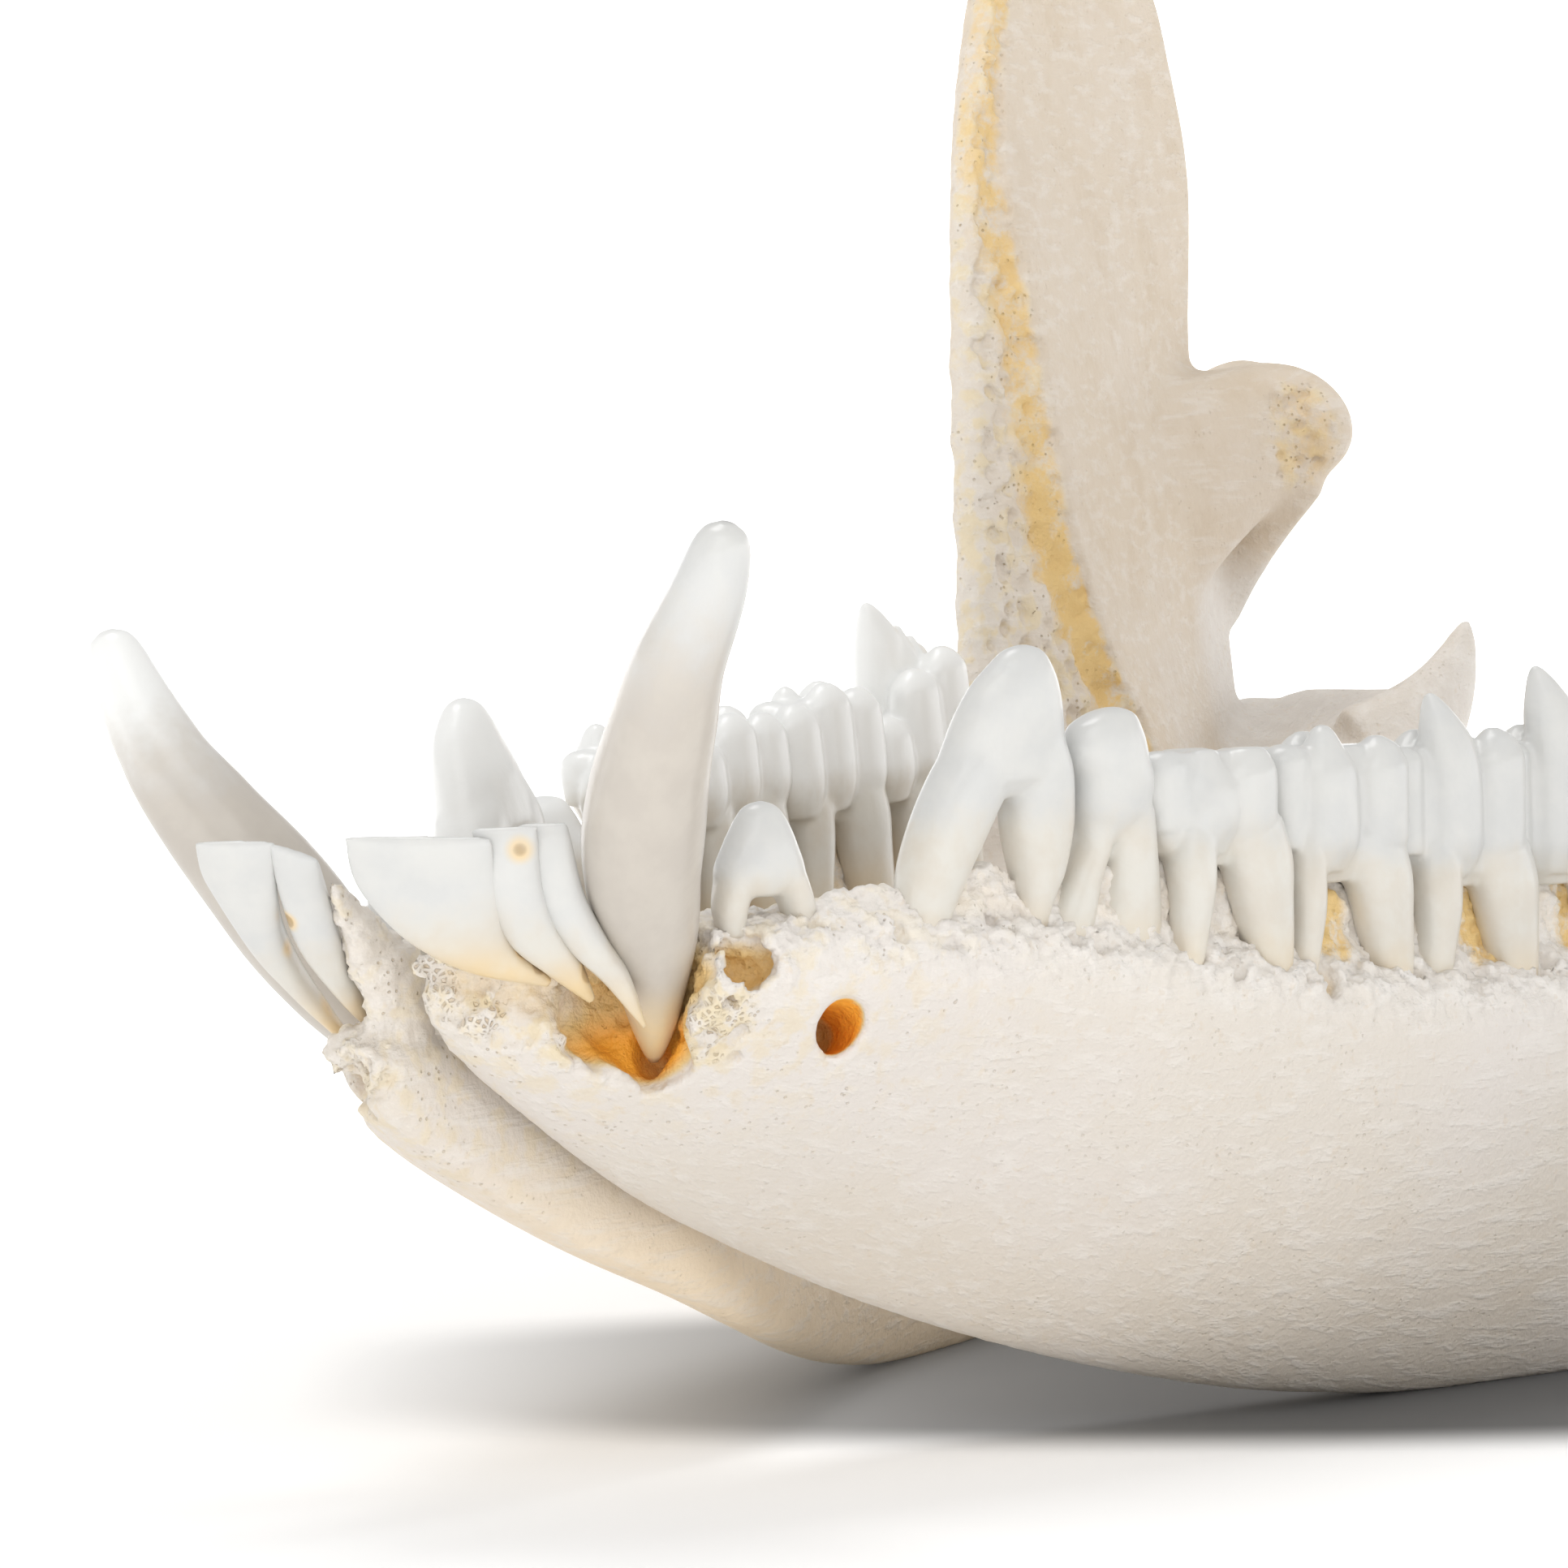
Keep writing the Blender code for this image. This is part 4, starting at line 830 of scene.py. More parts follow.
def pit_cutters(bm, tree, chance, lively):
    """Small holes sunk into the skin where the bone is spongy."""
    def sink(spot, size, reach, stretch=1.0):
        found, facing, _, distance = tree.find_nearest(spot)
        if distance < reach:
            ball(bm, found - facing * size * 0.25, (size, size, size * stretch), 1)

    def near(middle, spread):
        return middle + Vector([chance.uniform(-spread, spread) for _ in range(3)])

    for _ in range(240 if lively else 30):
        share = chance.random()
        spot = near(bezier(Vector((1.3, -1.2, 18.0)), Vector((3.4, 0.6, 17.0)), Vector((5.6, 3.0, 16.4)), share), 1.1)
        sink(spot, chance.uniform(0.2, 0.44), 1.2)
    for _ in range(120 if lively else 0):
        sink(near(Vector((6.4, 5.2, 16.4)), 2.2), chance.uniform(0.2, 0.42), 0.9)
    for _ in range(60):
        sink(near(SOCKET_WALL, 1.1), chance.uniform(0.13, 0.28), 0.8)
    edge, row = track(ALVEOLAR_EDGE), track(ROW_X)
    for _ in range(260):
        y = chance.uniform(5, 50)
        x = row(y) + chance.choice((-1, 1)) * chance.uniform(0.6, 3.0)
        spot = Vector((x, y, edge(y) + chance.uniform(-1.0, 0.6)))
        sink(spot, chance.uniform(0.2, 0.45), 1.2)
    crest_at, ridge_at = line_up(CREST_X, CREST_Y), line_up(RIDGE_X, RIDGE_Y)
    for _ in range(420):
        z = 19 + 37 * chance.random() ** 1.2
        across = chance.random() ** 0.8 * 0.85 + 0.1
        spot = ridge_at(z).lerp(crest_at(z), 1 - across) + Vector((-0.4, 0, 0))
        sink(spot, chance.uniform(0.18, 0.42), 1.3, chance.uniform(0.8, 1.8))
    for _ in range(50):
        spot = Vector((22.0, 84.6, 32.4)) + Vector([chance.uniform(-1, 1) * reach for reach in (1.3, 1.2, 2.0)])
        sink(spot, chance.uniform(0.15, 0.34), 0.9)


def carve(obj, cutter):
    """Cut one object out of another and remove it."""
    cut = obj.modifiers.new("cut", 'BOOLEAN')
    cut.object = cutter
    cut.operation = 'DIFFERENCE'
    cut.solver = 'MANIFOLD'
    settle(obj)
    bpy.data.objects.remove(cutter)


def far_from(places, spot, sizes=1.0):
    """Distance of each place from a spot, in units of the sizes."""
    return numpy.linalg.norm((places - numpy.array(spot)) / sizes, axis=1)


def along_track(values, points, low, high, count):
    """Values of a track at many positions, read from an even grid of it."""
    grid, value_at = numpy.linspace(low, high, count), track(points)
    return numpy.interp(values, grid, [value_at(float(spot)) for spot in grid])


def roughen(mesh, blank, side):
    """Lumps and grain on the bone, and the numbers that its finish reads; blank is the uncut skin's tree."""
    places = spots_of(mesh)
    normals = numpy.empty(len(mesh.vertices) * 3)
    mesh.vertices.foreach_get("normal", normals)
    normals = normals.reshape(-1, 3)
    left = side == "left"
    x, y, z = places.T
    edge, row = (along_track(y, points, -2, 90, 185) for points in (ALVEOLAR_EDGE, ROW_X))
    crest, ridge = (along_track(z, points, 8, 58, 101) for points in (CREST_Y, RIDGE_Y))
    # Where the bone is grainy: along the tooth row, at the chin and down the inner strip of the ramus
    in_row = smooth(y, 54, 49) * smooth(z, edge - 3.6, edge - 0.8) * smooth(abs(x - row), 7.5, 5.0)
    front = smooth(y, 12, 3) * smooth(z, edge - 5.5, edge - 2.5)
    grainy = numpy.maximum(in_row, front * (0.5 if left else 0.25))
    inner = smooth(normals[:, 0], 0.4, 0.05)
    strip = smooth(y, ridge + 0.2, ridge - 0.3) * smooth(z, 18.5, 22.0) * smooth(y, crest - 1.5, crest) * inner
    moved = places.copy()
    for i in numpy.nonzero(grainy + strip > 0.02)[0]:
        spot = Vector(places[i])
        lump = (0.42 - noise.voronoi(spot * 1.7)[0][0]) * 0.2
        for fineness, amount in ((1.1, 0.22), (3.1, 0.16), (6.0, 0.12)):
            lump += noise.noise(spot * fineness) * amount
        moved[i] += normals[i] * lump * (grainy[i] + strip[i] * 0.35)
    mesh.vertices.foreach_set("co", moved.ravel())
    depth = numpy.zeros(len(moved))
    for i, place in enumerate(moved):
        found, facing, _, distance = blank.find_nearest(Vector(place))
        depth[i] = distance if (Vector(place) - found).dot(facing) < 0 else 0.0
    # Amber in the socket and the foramen
    in_socket = smooth(far_from(moved, SOCKET), 5.0, 2.6) * smooth(z, 17.0, 15.0)
    amber = smooth(depth, 0.2, 1.3) * (0.2 + 0.22 * smooth(y, 4.0, 6.0) + 0.58 * in_socket)
    amber = numpy.maximum(amber, smooth(far_from(moved, FORAMEN), 2.6, 1.6) * smooth(depth, 0.1, 0.5))
    # Fine open mesh round the socket, and pores
    rim = numpy.min([far_from(moved, spot) for spot in LACE], axis=0)
    lace = smooth(rim, 1.9, 0.9) * smooth(depth, 1.6, 0.8) * (1.0 if left else 0.3)
    condyle = smooth(far_from(moved, CONDYLE_FACE, (1.6, 1.8, 2.6)), 1.2, 0.7)
    porous = numpy.maximum(strip, smooth(y, 22, 8) * smooth(z, edge - 9, edge - 4) * 0.6)
    porous = numpy.maximum(porous, condyle)
    # Honey in the trough, on the condyle and between the roots
    trough = strip * smooth(y, ridge - 3.0, ridge - 0.8)
    wall = smooth(depth, 0.15, 0.5) * smooth(y, ridge - 2.4, ridge - 1.0) * smooth(y, ridge + 2.2, ridge + 1.4)
    trough = numpy.maximum(trough, wall * smooth(z, 20, 22) * smooth(x, 15.0, 15.6) * inner)
    honey = numpy.maximum(trough * (0.65 + 0.35 * smooth(z, 36, 24)), condyle * 0.4)
    septum = smooth(abs(x - row), 1.7, 1.1) * smooth(z, edge - 0.9, edge + 0.3) * smooth(y, 13, 16) * smooth(y, 53, 50)
    dips = numpy.max([smooth(abs(y - spot), 1.3, 0.5) for spot in ROOT_DIPS], axis=0)
    honey = numpy.maximum(honey, septum * ((0.22 + 0.6 * dips) if left else 0.4))
    # Beige bone behind; beige lower down and over the whole right bone is painted shade, and the paler, chalky angle is
    # painted light
    behind = smooth(y, 56, 64) * (1 - 0.7 * smooth(y, 66, 72) * smooth(z, 28, 22))
    warm = numpy.maximum(smooth(z, 13, 2) * (0.45 if left else 0.9), behind) + (0.0 if left else 0.3)
    # Painted light: the angle is kept out of the beige and given the whiter chalk
    angle = smooth(y, 77, 81) * smooth(z, 28, 25)
    warm = warm * (1 - angle)
    grainy = numpy.maximum(grainy, numpy.maximum(angle, strip * 0.7))
    # Painted light on the lower inner face of the right bone
    sandy = smooth(z, 17, 7) * smooth(y, 76, 60) * (0.0 if left else 1.0)
    for name, values in (("amber", amber), ("porous", porous), ("warm", warm), ("grainy", grainy), ("honey", honey),
                         ("lace", lace), ("sandy", sandy)):
        put_attribute(mesh, name, numpy.clip(values, 0, 1))


def smooth(value, low, high):
    """Smooth step from 0 at low to 1 at high, either way round."""
    share = numpy.clip((value - low) / (high - low), 0, 1)
    return share * share * (3 - 2 * share)


def shape_bone(side, settings):
    """One jaw bone with its sockets and grain, still in millimetres."""
    bm = bmesh.new()
    bone_blank(bm, side)
    bone = raw_object("jaw_bone_" + side, bm)
    melt(bone, 0.35, 6)
    blank = BVHTree.FromObject(bone, bpy.context.evaluated_depsgraph_get())
    bm = bmesh.new()
    hollow_cutters(bm)
    cutter = raw_object("cutter", bm)
    melt(cutter, 0.15, 1)
    crumple(cutter.data, 1.1, 0.55)
    crumple(cutter.data, 0.4, 0.3)
    carve(bone, cutter)
    melt(bone, 0.22, 0)
    drop_crumbs(bone)
    bm = bmesh.new()
    pit_cutters(bm, BVHTree.FromObject(bone, bpy.context.evaluated_depsgraph_get()), random.Random(settings.seed),
                side == "left")
    cutter = raw_object("cutter", bm)
    melt(cutter, 0.1, 0)
    carve(bone, cutter)
    melt(bone, settings.voxel, 1, 0.4)
    drop_crumbs(bone)
    roughen(bone.data, blank, side)
    thin_out(bone, settings.bone_faces)
    return bone


def finish_tooth(name, bm, voxel, smoothing, neck):
    """Melt a tooth's shells and keep how far each spot is down its root; neck is a height."""
    tooth = raw_object(name, bm)
    melt(tooth, voxel, smoothing)
    height = spots_of(tooth.data)[:, 2]
    put_attribute(tooth.data, "root", smooth(height, neck + 1.8, neck - 1.2))
    put_attribute(tooth.data, "stain", smooth(height, neck - 2.4, neck - 4.6) * 0.35)
    return tooth


def shape_canine(side):
    """The canine, still in millimetres."""
    bm = bmesh.new()
    levels = [14.9 + 17.7 * i / 60 for i in range(60)] + list(CANINE_TIP_LEVELS)
    skin_rings(bm, canine_rings(levels, 40))
    tooth = raw_object("canine_tooth_" + side, bm)
    height = spots_of(tooth.data)[:, 2]
    put_attribute(tooth.data, "root", smooth(height, 33.5, 25.0))
    put_attribute(tooth.data, "stain", smooth(height, 17.9, 15.9) * 0.75)
    return tooth


def thread(points):
    """Return a smooth line in space, from 0 to 1, through points."""
    ways = [track([(k / (len(points) - 1), point[i]) for k, point in enumerate(points)]) for i in range(3)]
    return lambda t: Vector([way(t) for way in ways])


def shape_incisor(side, index):
    """One of the long flat front teeth, still in millimetres."""
    left, right = (thread(points) for points in INCISORS[side][index])
    deep = track(((0, 0.2), (0.15, 0.55), (0.5, 0.75), (0.8, 0.5), (0.95, 0.3), (1, 0.12)))
    sections = []
    for i in range(61):
        t = i / 60
        centre, across = (left(t) + right(t)) / 2, (right(t) - left(t)) / 2
        low, high = max(t - 0.02, 0), min(t + 0.02, 1)
        along = left(high) + right(high) - left(low) - right(low)
        front = along.cross(across).normalized()
        ring = [squared(turn, 2.3) for turn in turns_of(40)]
        sections.append([centre + across * a + front * b * deep(t) for a, b in ring])
    bm = bmesh.new()
    skin_rings(bm, sections)
    tooth = raw_object("incisor_%s_%d" % (side, index + 1), bm)
    melt(tooth, 0.09, 6)
    places = spots_of(tooth.data)
    height, root, tip = places[:, 2], left(0).z, left(1).z
    base = root + (tip - root) * 0.35
    stain = smooth(height, root + 2.2, root + 0.2) * 0.8
    for spot, reach in MARKS[side]:
        stain = numpy.maximum(stain, smooth(far_from(places, spot), reach * 1.5, reach * 0.6))
    put_attribute(tooth.data, "root", smooth(height, base + 2.4, base - 0.8))
    put_attribute(tooth.data, "stain", stain)
    return tooth


def column(bm, frame_at, stations, squareness=2.2):
    """A tapering column of a tooth through its stations, with rounded ends."""
    spot, along, out = frame_at
    ways = [track([(row[0], row[i]) for row in stations]) for i in range(1, 5)]
    low, high = stations[0][0], stations[-1][0]
    sections = []
    for i in range(25):
        rise = low + (high - low) * (1 - (1 - i / 24) ** 1.6)
        ahead, outward, half_long, half_side = (way(rise) for way in ways)
        centre = spot + UP * rise + along * ahead + out * outward
        ring = [squared(turn, squareness) for turn in turns_of(24)]
        sections.append([centre + along * a * half_long + out * b * half_side for a, b in ring])
    skin_rings(bm, sections)


def shape_premolar(side, index):
    """A blade-like tooth on two legs, still in millimetres."""
    y, neck, *columns = PREMOLARS[index]
    frame_at = row_frame(y)
    bm = bmesh.new()
    if side == "right" and index == 1:
        column(bm, frame_at, SECOND_PREMOLAR_LOBE)
    if side == "right" and index == 2:
        columns = [[(rise * RIGHT_THIRD_PREMOLAR, *rest) for rise, *rest in stations] for stations in columns]
    for stations in columns:
        column(bm, frame_at, stations)
    return finish_tooth("premolar_%s_%d" % (side, index + 1), bm, 0.1, 20, frame_at[0].z + neck)


def shape_molar(side, index):
    """A crown of rounded columns with a high front cusp and a lower heel, on two roots, in millimetres."""
    y, middle, tall, shelf, heel, heel_ahead, front_root, rear_root = MOLARS[side][index]
    lift, root_out = RIDGE_LIFT[side], ROOTS_OUT[side]
    spot, along, out = row_frame(y)
    frame_at = (spot + UP * lift, along, out)
    tall, shelf, heel = tall - lift, shelf - lift, heel - lift
    spiked = tall > SPIKED_RISE
    bm = bmesh.new()
    column(bm, frame_at, crown_body(middle, min(shelf, heel), spiked), 2.6)
    for stations in (spiked_cusps(tall) if spiked else [plain_cusp(tall)]):
        column(bm, frame_at, stations)
    column(bm, frame_at, ((2.9, heel_ahead - 0.3, 0.6, 0.9, 0.6), (4.0, heel_ahead - 0.1, 0.85, 1.25, 0.9),
                          (heel - 1.3, heel_ahead - 0.1, 0.85, 1.25, 1.0), (heel - 0.4, heel_ahead, 0.8, 0.8, 0.7),
                          (heel, heel_ahead - 0.1, 0.75, 0.25, 0.25)))
    column(bm, frame_at, ((3.8, -2.0, 0.3, 0.8, 0.7), (shelf - 0.6, -2.1, 0.2, 0.95, 0.85),
                          (shelf - 0.12, -2.1, 0.2, 0.6, 0.55), (shelf, -2.1, 0.2, 0.2, 0.2)))
    for ahead, rise in ((-2.0, shelf - 0.1), (0.2, (shelf + heel) / 2 + 0.3), (2.3, heel - 0.3)):
        column(bm, frame_at, ((3.0, ahead, -0.6, 0.9, 0.8), (4.2, ahead, -0.75, 1.4, 0.95),
                              (rise - 1.0, ahead, -0.8, 1.3, 0.85), (rise - 0.25, ahead, -0.85, 0.7, 0.5),
                              (rise, ahead, -0.8, 0.3, 0.2)))
    for (ahead, half_long, half_side), away in ((front_root, -1), (rear_root, 1)):
        column(bm, frame_at, ((-3.2 - lift, ahead + away * 0.7, 0.6 * root_out, half_long * 0.45, half_side * 0.6),
                              (-lift / 2, ahead + away * 0.25, 0.8 * root_out, half_long * 0.8, half_side * 0.9),
                              (1.5, ahead, 0.8 * root_out, half_long, half_side),
                              (2.8, ahead - away * 0.1, 0.65 * root_out, half_long * 1.12, half_side * 1.15),
                              (4.2, ahead - away * 0.4, 0.4 * root_out, half_long * 1.12, half_side * 1.2)))
    if index == 0 and side == "left":
        for vert in bm.verts:
            vert.co.z = min(vert.co.z, spot.z + WORN_RISE)
    return finish_tooth("molar_%s_%d" % (side, index + 1), bm, 0.1, 12 if side == "left" else 20,
                        frame_at[0].z + NECK_RISE + 0.4 * lift)


def crown_body(middle, low, spiked):
    """Stations of a molar's crown under its cusps, a little shorter where the tall cusp is a spike."""
    return ((2.5, middle, 0.1, 1.4, 0.7), (3.2, middle, 0.1, 2.1, 0.95), (4.2, middle, 0.1, 2.55, 1.1),
            (low - 1.3, middle, 0.05, 2.95 - 0.4 * spiked, 1.1), (low - 0.6, middle, 0.0, 2.95 - 0.4 * spiked, 1.0),
            (low - 0.15, middle, 0.0, 2.6 - 0.3 * spiked, 0.8))


def plain_cusp(tall):
    """Stations of the outer cusp of a molar whose crown is nearly level."""
    return ((2.9, -0.5, 0.6, 0.9, 0.6), (4.2, -0.4, 0.75, 1.4, 0.95), (tall - 1.8, -0.35, 0.65, 1.35, 1.0),
            (tall - 0.8, -0.4, 0.62, 0.8, 0.65), (tall - 0.2, -0.4, 0.6, 0.42, 0.38), (tall, -0.4, 0.6, 0.15, 0.15))


def spiked_cusps(tall):
    """Stations of a tall cusp that leans forward, and of the two steps of its rear slope."""
    cusps = [((2.9, 0.2, 0.6, 0.9, 0.6), (4.2, 0.3, 0.75, 1.35, 0.95), (tall - 3.0, 0.3, 0.7, 1.3, 1.0),
              (tall - 1.8, 0.15, 0.65, 1.15, 0.9), (tall - 0.8, -0.25, 0.62, 0.7, 0.6),
              (tall - 0.2, -0.55, 0.6, 0.35, 0.3), (tall, -0.65, 0.6, 0.15, 0.15))]
    for ahead, rise in ((0.9, tall - 1.1), (1.8, tall - 1.6)):
        cusps.append(((3.0, ahead, 0.3, 1.0, 0.8), (rise - 1.5, ahead, 0.3, 0.9, 0.7), (rise, ahead, 0.3, 0.2, 0.2)))
    return cusps


class JawShape(bpy.types.PropertyGroup):
    """Sizes of the jaw's surface detail."""

    voxel: FloatProperty(name="Bone detail", description="Smallest form kept on the bone, in millimetres",
                         default=0.16, min=0.12, max=0.6)
    bone_faces: IntProperty(name="Bone triangles", description="Triangles kept on each jaw bone", default=190000)
    seed: IntProperty(name="Pitting", description="Which scatter of small holes the bone has", default=11)


class JawFinish(bpy.types.PropertyGroup):
    """Colours of the bone and the teeth."""

    ivory: FloatVectorProperty(name="Ivory", description="Main bone colour", subtype='COLOR',
                               default=(0.725, 0.675, 0.625))
    cream: FloatVectorProperty(name="Cream", description="Second bone colour", subtype='COLOR',
                               default=(0.71, 0.655, 0.585))
    # Beige is also painted shade lower on the bones and over the right bone
    beige: FloatVectorProperty(name="Beige", description="Warm bone colour", subtype='COLOR',
                               default=(0.68, 0.58, 0.46))
    # Sand is painted light on the lower inner face of the right bone
    sand: FloatVectorProperty(name="Sand", description="Lower inner face of the right bone", subtype='COLOR',
                              default=(0.93, 0.77, 0.56))
    # Chalk is also painted light at the angle
    chalk: FloatVectorProperty(name="Chalk", description="Grainy bone edges", subtype='COLOR',
                               default=(0.80, 0.765, 0.72))
    straw: FloatVectorProperty(name="Straw", description="Porous bone", subtype='COLOR', default=(0.75, 0.62, 0.38))
    pore: FloatVectorProperty(name="Pore", description="Small pores", subtype='COLOR', default=(0.52, 0.38, 0.22))
    honey: FloatVectorProperty(name="Honey", description="Light stain", subtype='COLOR', default=(0.78, 0.56, 0.25))
    amber: FloatVectorProperty(name="Amber", description="Deep stain", subtype='COLOR', default=(0.92, 0.41, 0.045))
    umber: FloatVectorProperty(name="Umber", description="Brown marks", subtype='COLOR', default=(0.46, 0.30, 0.12))
    enamel: FloatVectorProperty(name="Enamel", description="Enamel", subtype='COLOR', default=(0.605, 0.605, 0.59))
    milk: FloatVectorProperty(name="Milk", description="Milky enamel", subtype='COLOR', default=(0.645, 0.64, 0.615))
    # Whiter enamel of the right teeth is painted light
    painted_light_enamel: FloatVectorProperty(name="Right enamel", description="Whiter enamel of the right molars", subtype='COLOR',
                              default=(0.86, 0.86, 0.84))
    root: FloatVectorProperty(name="Root", description="Tooth roots", subtype='COLOR', default=(0.665, 0.64, 0.58))
    dentine: FloatVectorProperty(name="Dentine", description="Darker root", subtype='COLOR',
                                 default=(0.645, 0.60, 0.525))
    ivory_tooth: FloatVectorProperty(name="Canine ivory", description="Canine below its tip", subtype='COLOR',
                                     default=(0.52, 0.475, 0.42))


class JawStage(bpy.types.PropertyGroup):
    """Light, floor and camera."""

    key: FloatProperty(name="Key light", description="Power of the large front light", default=1.0, unit='POWER')
    top: FloatProperty(name="Top light", description="Power of the light overhead", default=1.3, unit='POWER')
    sky: FloatProperty(name="Sky", description="Strength of the white surround", default=0.6)
    lens: FloatProperty(name="Lens", description="Focal length", default=177.0, unit='CAMERA')


class JAW_OT_stage(bpy.types.Operator):
    """Make the pale floor, the soft light and the camera"""

    bl_idname = "jaw.stage"
    bl_label = "Stage"

    def execute(self, context):
        stage = context.scene.jaw_stage
        context.scene.view_settings.view_transform = 'Standard'
        make_floor()
        make_world(stage.sky)
        soft_light("key_light", stage.key, *KEY_LIGHT)
        soft_light("top_light", stage.top, *TOP_LIGHT)
        make_camera(stage.lens)
        return {'FINISHED'}


class JAW_OT_bones(bpy.types.Operator):
    """Make the two jaw bones"""

    bl_idname = "jaw.bones"
    bl_label = "Jaw bones"

    def execute(self, context):
        finish = bone_finish(context.scene.jaw_finish)
        for side in ("left", "right"):
            bone = shape_bone(side, context.scene.jaw_shape)
            dress(bone, side, "dentary_" + side, "bone", finish)
        return {'FINISHED'}


class JAW_OT_teeth(bpy.types.Operator):
    """Make all the teeth"""

    bl_idname = "jaw.teeth"
    bl_label = "Teeth"

    def execute(self, context):
        finish = enamel_finish("enamel", context.scene.jaw_finish)
        ivory = enamel_finish("canine_enamel", context.scene.jaw_finish)
        for side in ("left", "right"):
            dress(shape_canine(side), side, "canine_" + side, "enamel", ivory)
            for shape, count in ((shape_incisor, len(INCISORS[side])), (shape_premolar, 3), (shape_molar, 4)):
                for index in range(count):
                    dress(shape(side, index), side, "dentary_" + side, "enamel", finish)
        return {'FINISHED'}


class JAW_PT_panel(bpy.types.Panel):
    """Lists what can be made and changed"""

    bl_label = "Opossum Lower Jaw"
    bl_space_type = 'VIEW_3D'
    bl_region_type = 'UI'
    bl_category = "Jaw"

    def draw(self, context):
        for operator in (JAW_OT_stage, JAW_OT_bones, JAW_OT_teeth):
            self.layout.operator(operator.bl_idname)
        for group in (context.scene.jaw_shape, context.scene.jaw_finish, context.scene.jaw_stage):
            for name in group.__annotations__:
                self.layout.prop(group, name)


# Floor: radius, height of its backdrop, the painted shadow under the jaw as place, turn and half sizes, and its paints
FLOOR_RADIUS = 5.0
BACKDROP_HEIGHT = 0.9
SHADE = {"Location": (0.0075, 0.0034, 0.0), "Rotation": (0.0, 0.0, 0.671), "Scale": (0.038, 0.015, 1.0)}
SHADE_PAINT, FLOOR_PAINT = (0.14, 0.14, 0.14), (0.92, 0.92, 0.92)
SHADE_GLOW, NEAR_GLOW, FAR_GLOW = (0.0, 0.0, 0.0), (0.14, 0.14, 0.14), (0.9, 0.9, 0.9)

# Lights: side and place of each, and the spot that both face
KEY_LIGHT = (0.5, Vector((0.4, -0.4, 0.5)))
TOP_LIGHT = (0.3, Vector((-0.15, 0.03, 0.7)))
LIT_SPOT = Vector((0, 0, 0.02))

# Camera: azimuth, elevation and roll in degrees, the spot in front of it in millimetres with its distance, and
# where its axis meets a picture that is 1932 wide and high, with the focal length in the same units
CAMERA_TURN = (38.45, 4.15, -0.76)
CAMERA_SPOT = Vector((-2.77, 30.0, 25.10))
CAMERA_DISTANCE = 285.51
CAMERA_AXIS = (1120.0, 895.1)
CAMERA_FOCAL = 9498.98
HALF_FRAME = 966.0


def make_floor():
    """A broad pale floor with a low backdrop all round it, with a painted shadow under the jaw where its paint darkens
    and its glow goes out.
    """
    bm = bmesh.new()
    bmesh.ops.create_circle(bm, cap_ends=True, segments=96, radius=FLOOR_RADIUS)
    rim = [edge for edge in bm.edges if edge.is_boundary]
    grown = bmesh.ops.extrude_edge_only(bm, edges=rim)["geom"]
    bmesh.ops.translate(bm, verts=[g for g in grown if isinstance(g, bmesh.types.BMVert)], vec=(0, 0, BACKDROP_HEIGHT))
    mesh = bpy.data.meshes.new("floor")
    bm.to_mesh(mesh)
    bm.free()
    floor = bpy.data.objects.new("floor", mesh)
    bpy.context.scene.collection.objects.link(floor)
    board = Board("floor_white_painted_shadow")
    spot = board.node("ShaderNodeMapping", {"vector_type": 'TEXTURE'}, {"Vector": board.place, **SHADE})
    spread = board.node("ShaderNodeVectorMath", {"operation": 'LENGTH'}, {0: spot}, 1)
    across = board.node("ShaderNodeSeparateXYZ", {}, {0: spot})
    fade = board.node("ShaderNodeMapRange", {}, {"Value": across, "From Min": 0.0, "From Max": -1.05}) ** 2.0
    # Painted shadow: an oval under the jaw, fading away to the left, where the floor's paint turns dark grey and its
    # near glow goes out
    lit = 1.0 - (1.0 - board.step(spread, 0.94, 1.38)) * (1.0 - fade)
    glow = board.blend(board.step(spread, 2.4, 8.0), board.blend(lit, SHADE_GLOW, NEAR_GLOW), FAR_GLOW)
    paint = board.blend(lit, SHADE_PAINT, FLOOR_PAINT)
    board.shade(Base_Color=paint, Roughness=0.9, Emission_Color=glow, Emission_Strength=1.0)
    floor.data.materials.append(board.material)


def make_world(strength):
    """An even white surround."""
    world = bpy.data.worlds.new("white_surround")
    world.use_nodes = True
    world.node_tree.nodes["Background"].inputs["Color"].default_value = (1.0, 1.0, 1.0, 1.0)
    world.node_tree.nodes["Background"].inputs["Strength"].default_value = strength
    bpy.context.scene.world = world


def soft_light(name, power, size, place):
    """A square area light that faces the jaw."""
    light = bpy.data.lights.new(name, 'AREA')
    light.energy = power
    light.size = size
    lamp = bpy.data.objects.new(name, light)
    lamp.location = place
    lamp.rotation_euler = (place - LIT_SPOT).to_track_quat('Z', 'Y').to_euler()
    bpy.context.scene.collection.objects.link(lamp)


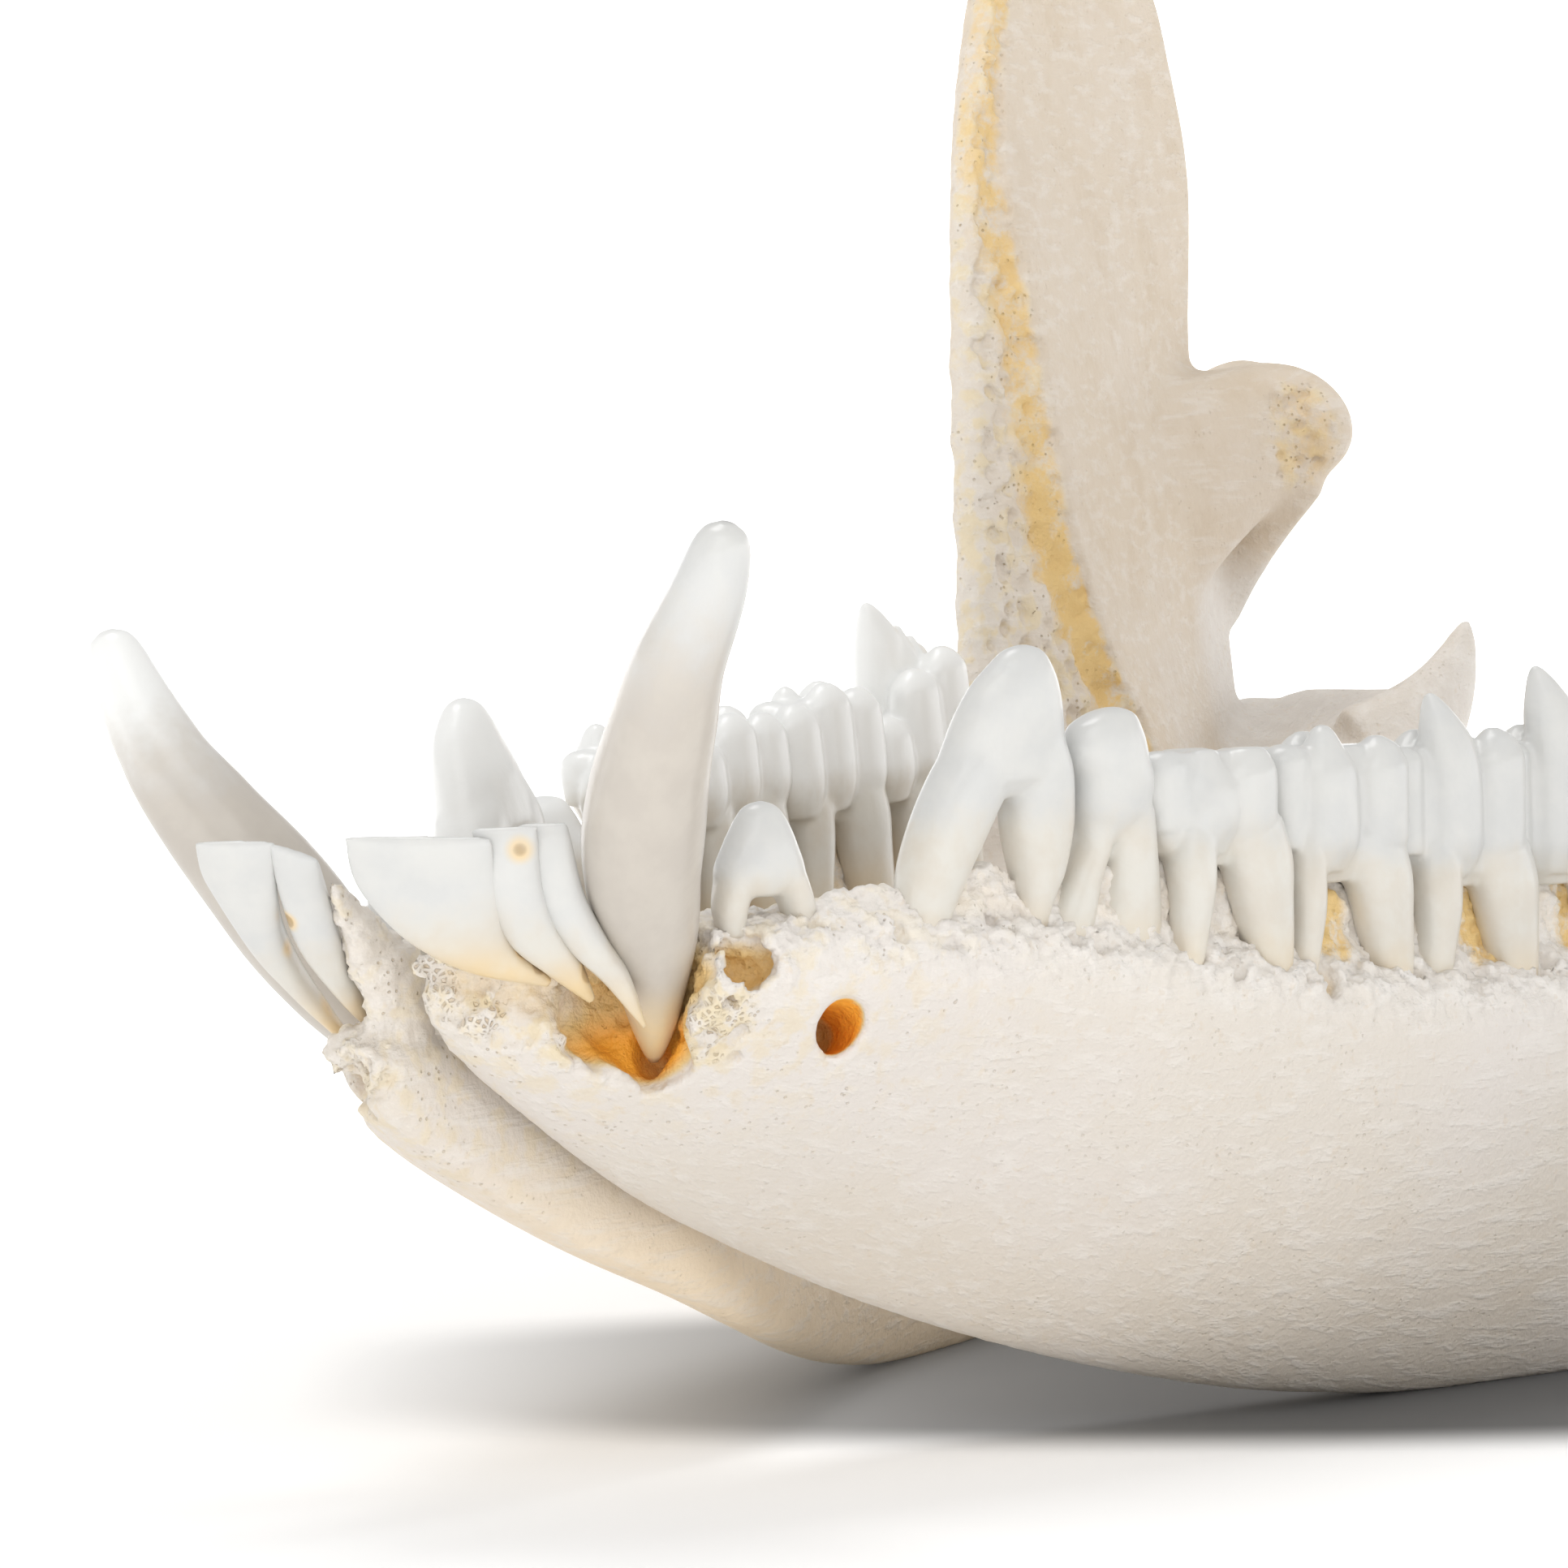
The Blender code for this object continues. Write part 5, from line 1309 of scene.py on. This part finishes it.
def make_camera(lens):
    """Camera at the low front left, aimed so that no shift is needed."""
    azimuth, elevation, roll = (math.radians(a) for a in CAMERA_TURN)
    back = Vector((math.sin(azimuth) * math.cos(elevation), -math.cos(azimuth) * math.cos(elevation),
                   math.sin(elevation)))
    level = Vector((math.cos(azimuth), math.sin(azimuth), 0))
    upright = back.cross(level)
    right = level * math.cos(roll) + upright * math.sin(roll)
    above = upright * math.cos(roll) - level * math.sin(roll)
    start = seat("left") @ Vector((0, 0, 0)) - fit_place(Vector((0, 0, 0)))
    place = (CAMERA_SPOT + back * CAMERA_DISTANCE) * MM + Vector((start.x, start.y, 0))
    aside, aloft = (HALF_FRAME - centre for centre in CAMERA_AXIS)
    view = (back - right * aside / CAMERA_FOCAL + above * aloft / CAMERA_FOCAL).normalized()
    side = (right - view * right.dot(view)).normalized()
    turn = Matrix((side, view.cross(side), view)).transposed()
    data = bpy.data.cameras.new("camera")
    data.lens = lens
    data.sensor_width = 36.0
    data.clip_start = 0.01
    data.clip_end = 20.0
    camera = bpy.data.objects.new("camera", data)
    camera.matrix_world = Matrix.Translation(place) @ turn.to_4x4()
    bpy.context.scene.collection.objects.link(camera)
    bpy.context.scene.camera = camera


def fit_place(point):
    """Place of a left point in metres before the CAD model was centred."""
    turned = Euler([math.radians(a) for a in TURN["left"]]).to_matrix()
    return (turned @ (point - PIVOT) + PIVOT + Vector((*SHIFT["left"], 0))) * MM


CLASSES = (JawShape, JawFinish, JawStage, JAW_OT_stage, JAW_OT_bones, JAW_OT_teeth, JAW_PT_panel)


def register():
    for entry in CLASSES:
        bpy.utils.register_class(entry)
    bpy.types.Scene.jaw_shape = PointerProperty(type=JawShape)
    bpy.types.Scene.jaw_finish = PointerProperty(type=JawFinish)
    bpy.types.Scene.jaw_stage = PointerProperty(type=JawStage)


def unregister():
    del bpy.types.Scene.jaw_shape
    del bpy.types.Scene.jaw_finish
    del bpy.types.Scene.jaw_stage
    for entry in reversed(CLASSES):
        bpy.utils.unregister_class(entry)


def main():
    register()
    bpy.ops.jaw.stage()
    bpy.ops.jaw.bones()
    bpy.ops.jaw.teeth()
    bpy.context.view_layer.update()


if __name__ == "__main__":
    main()
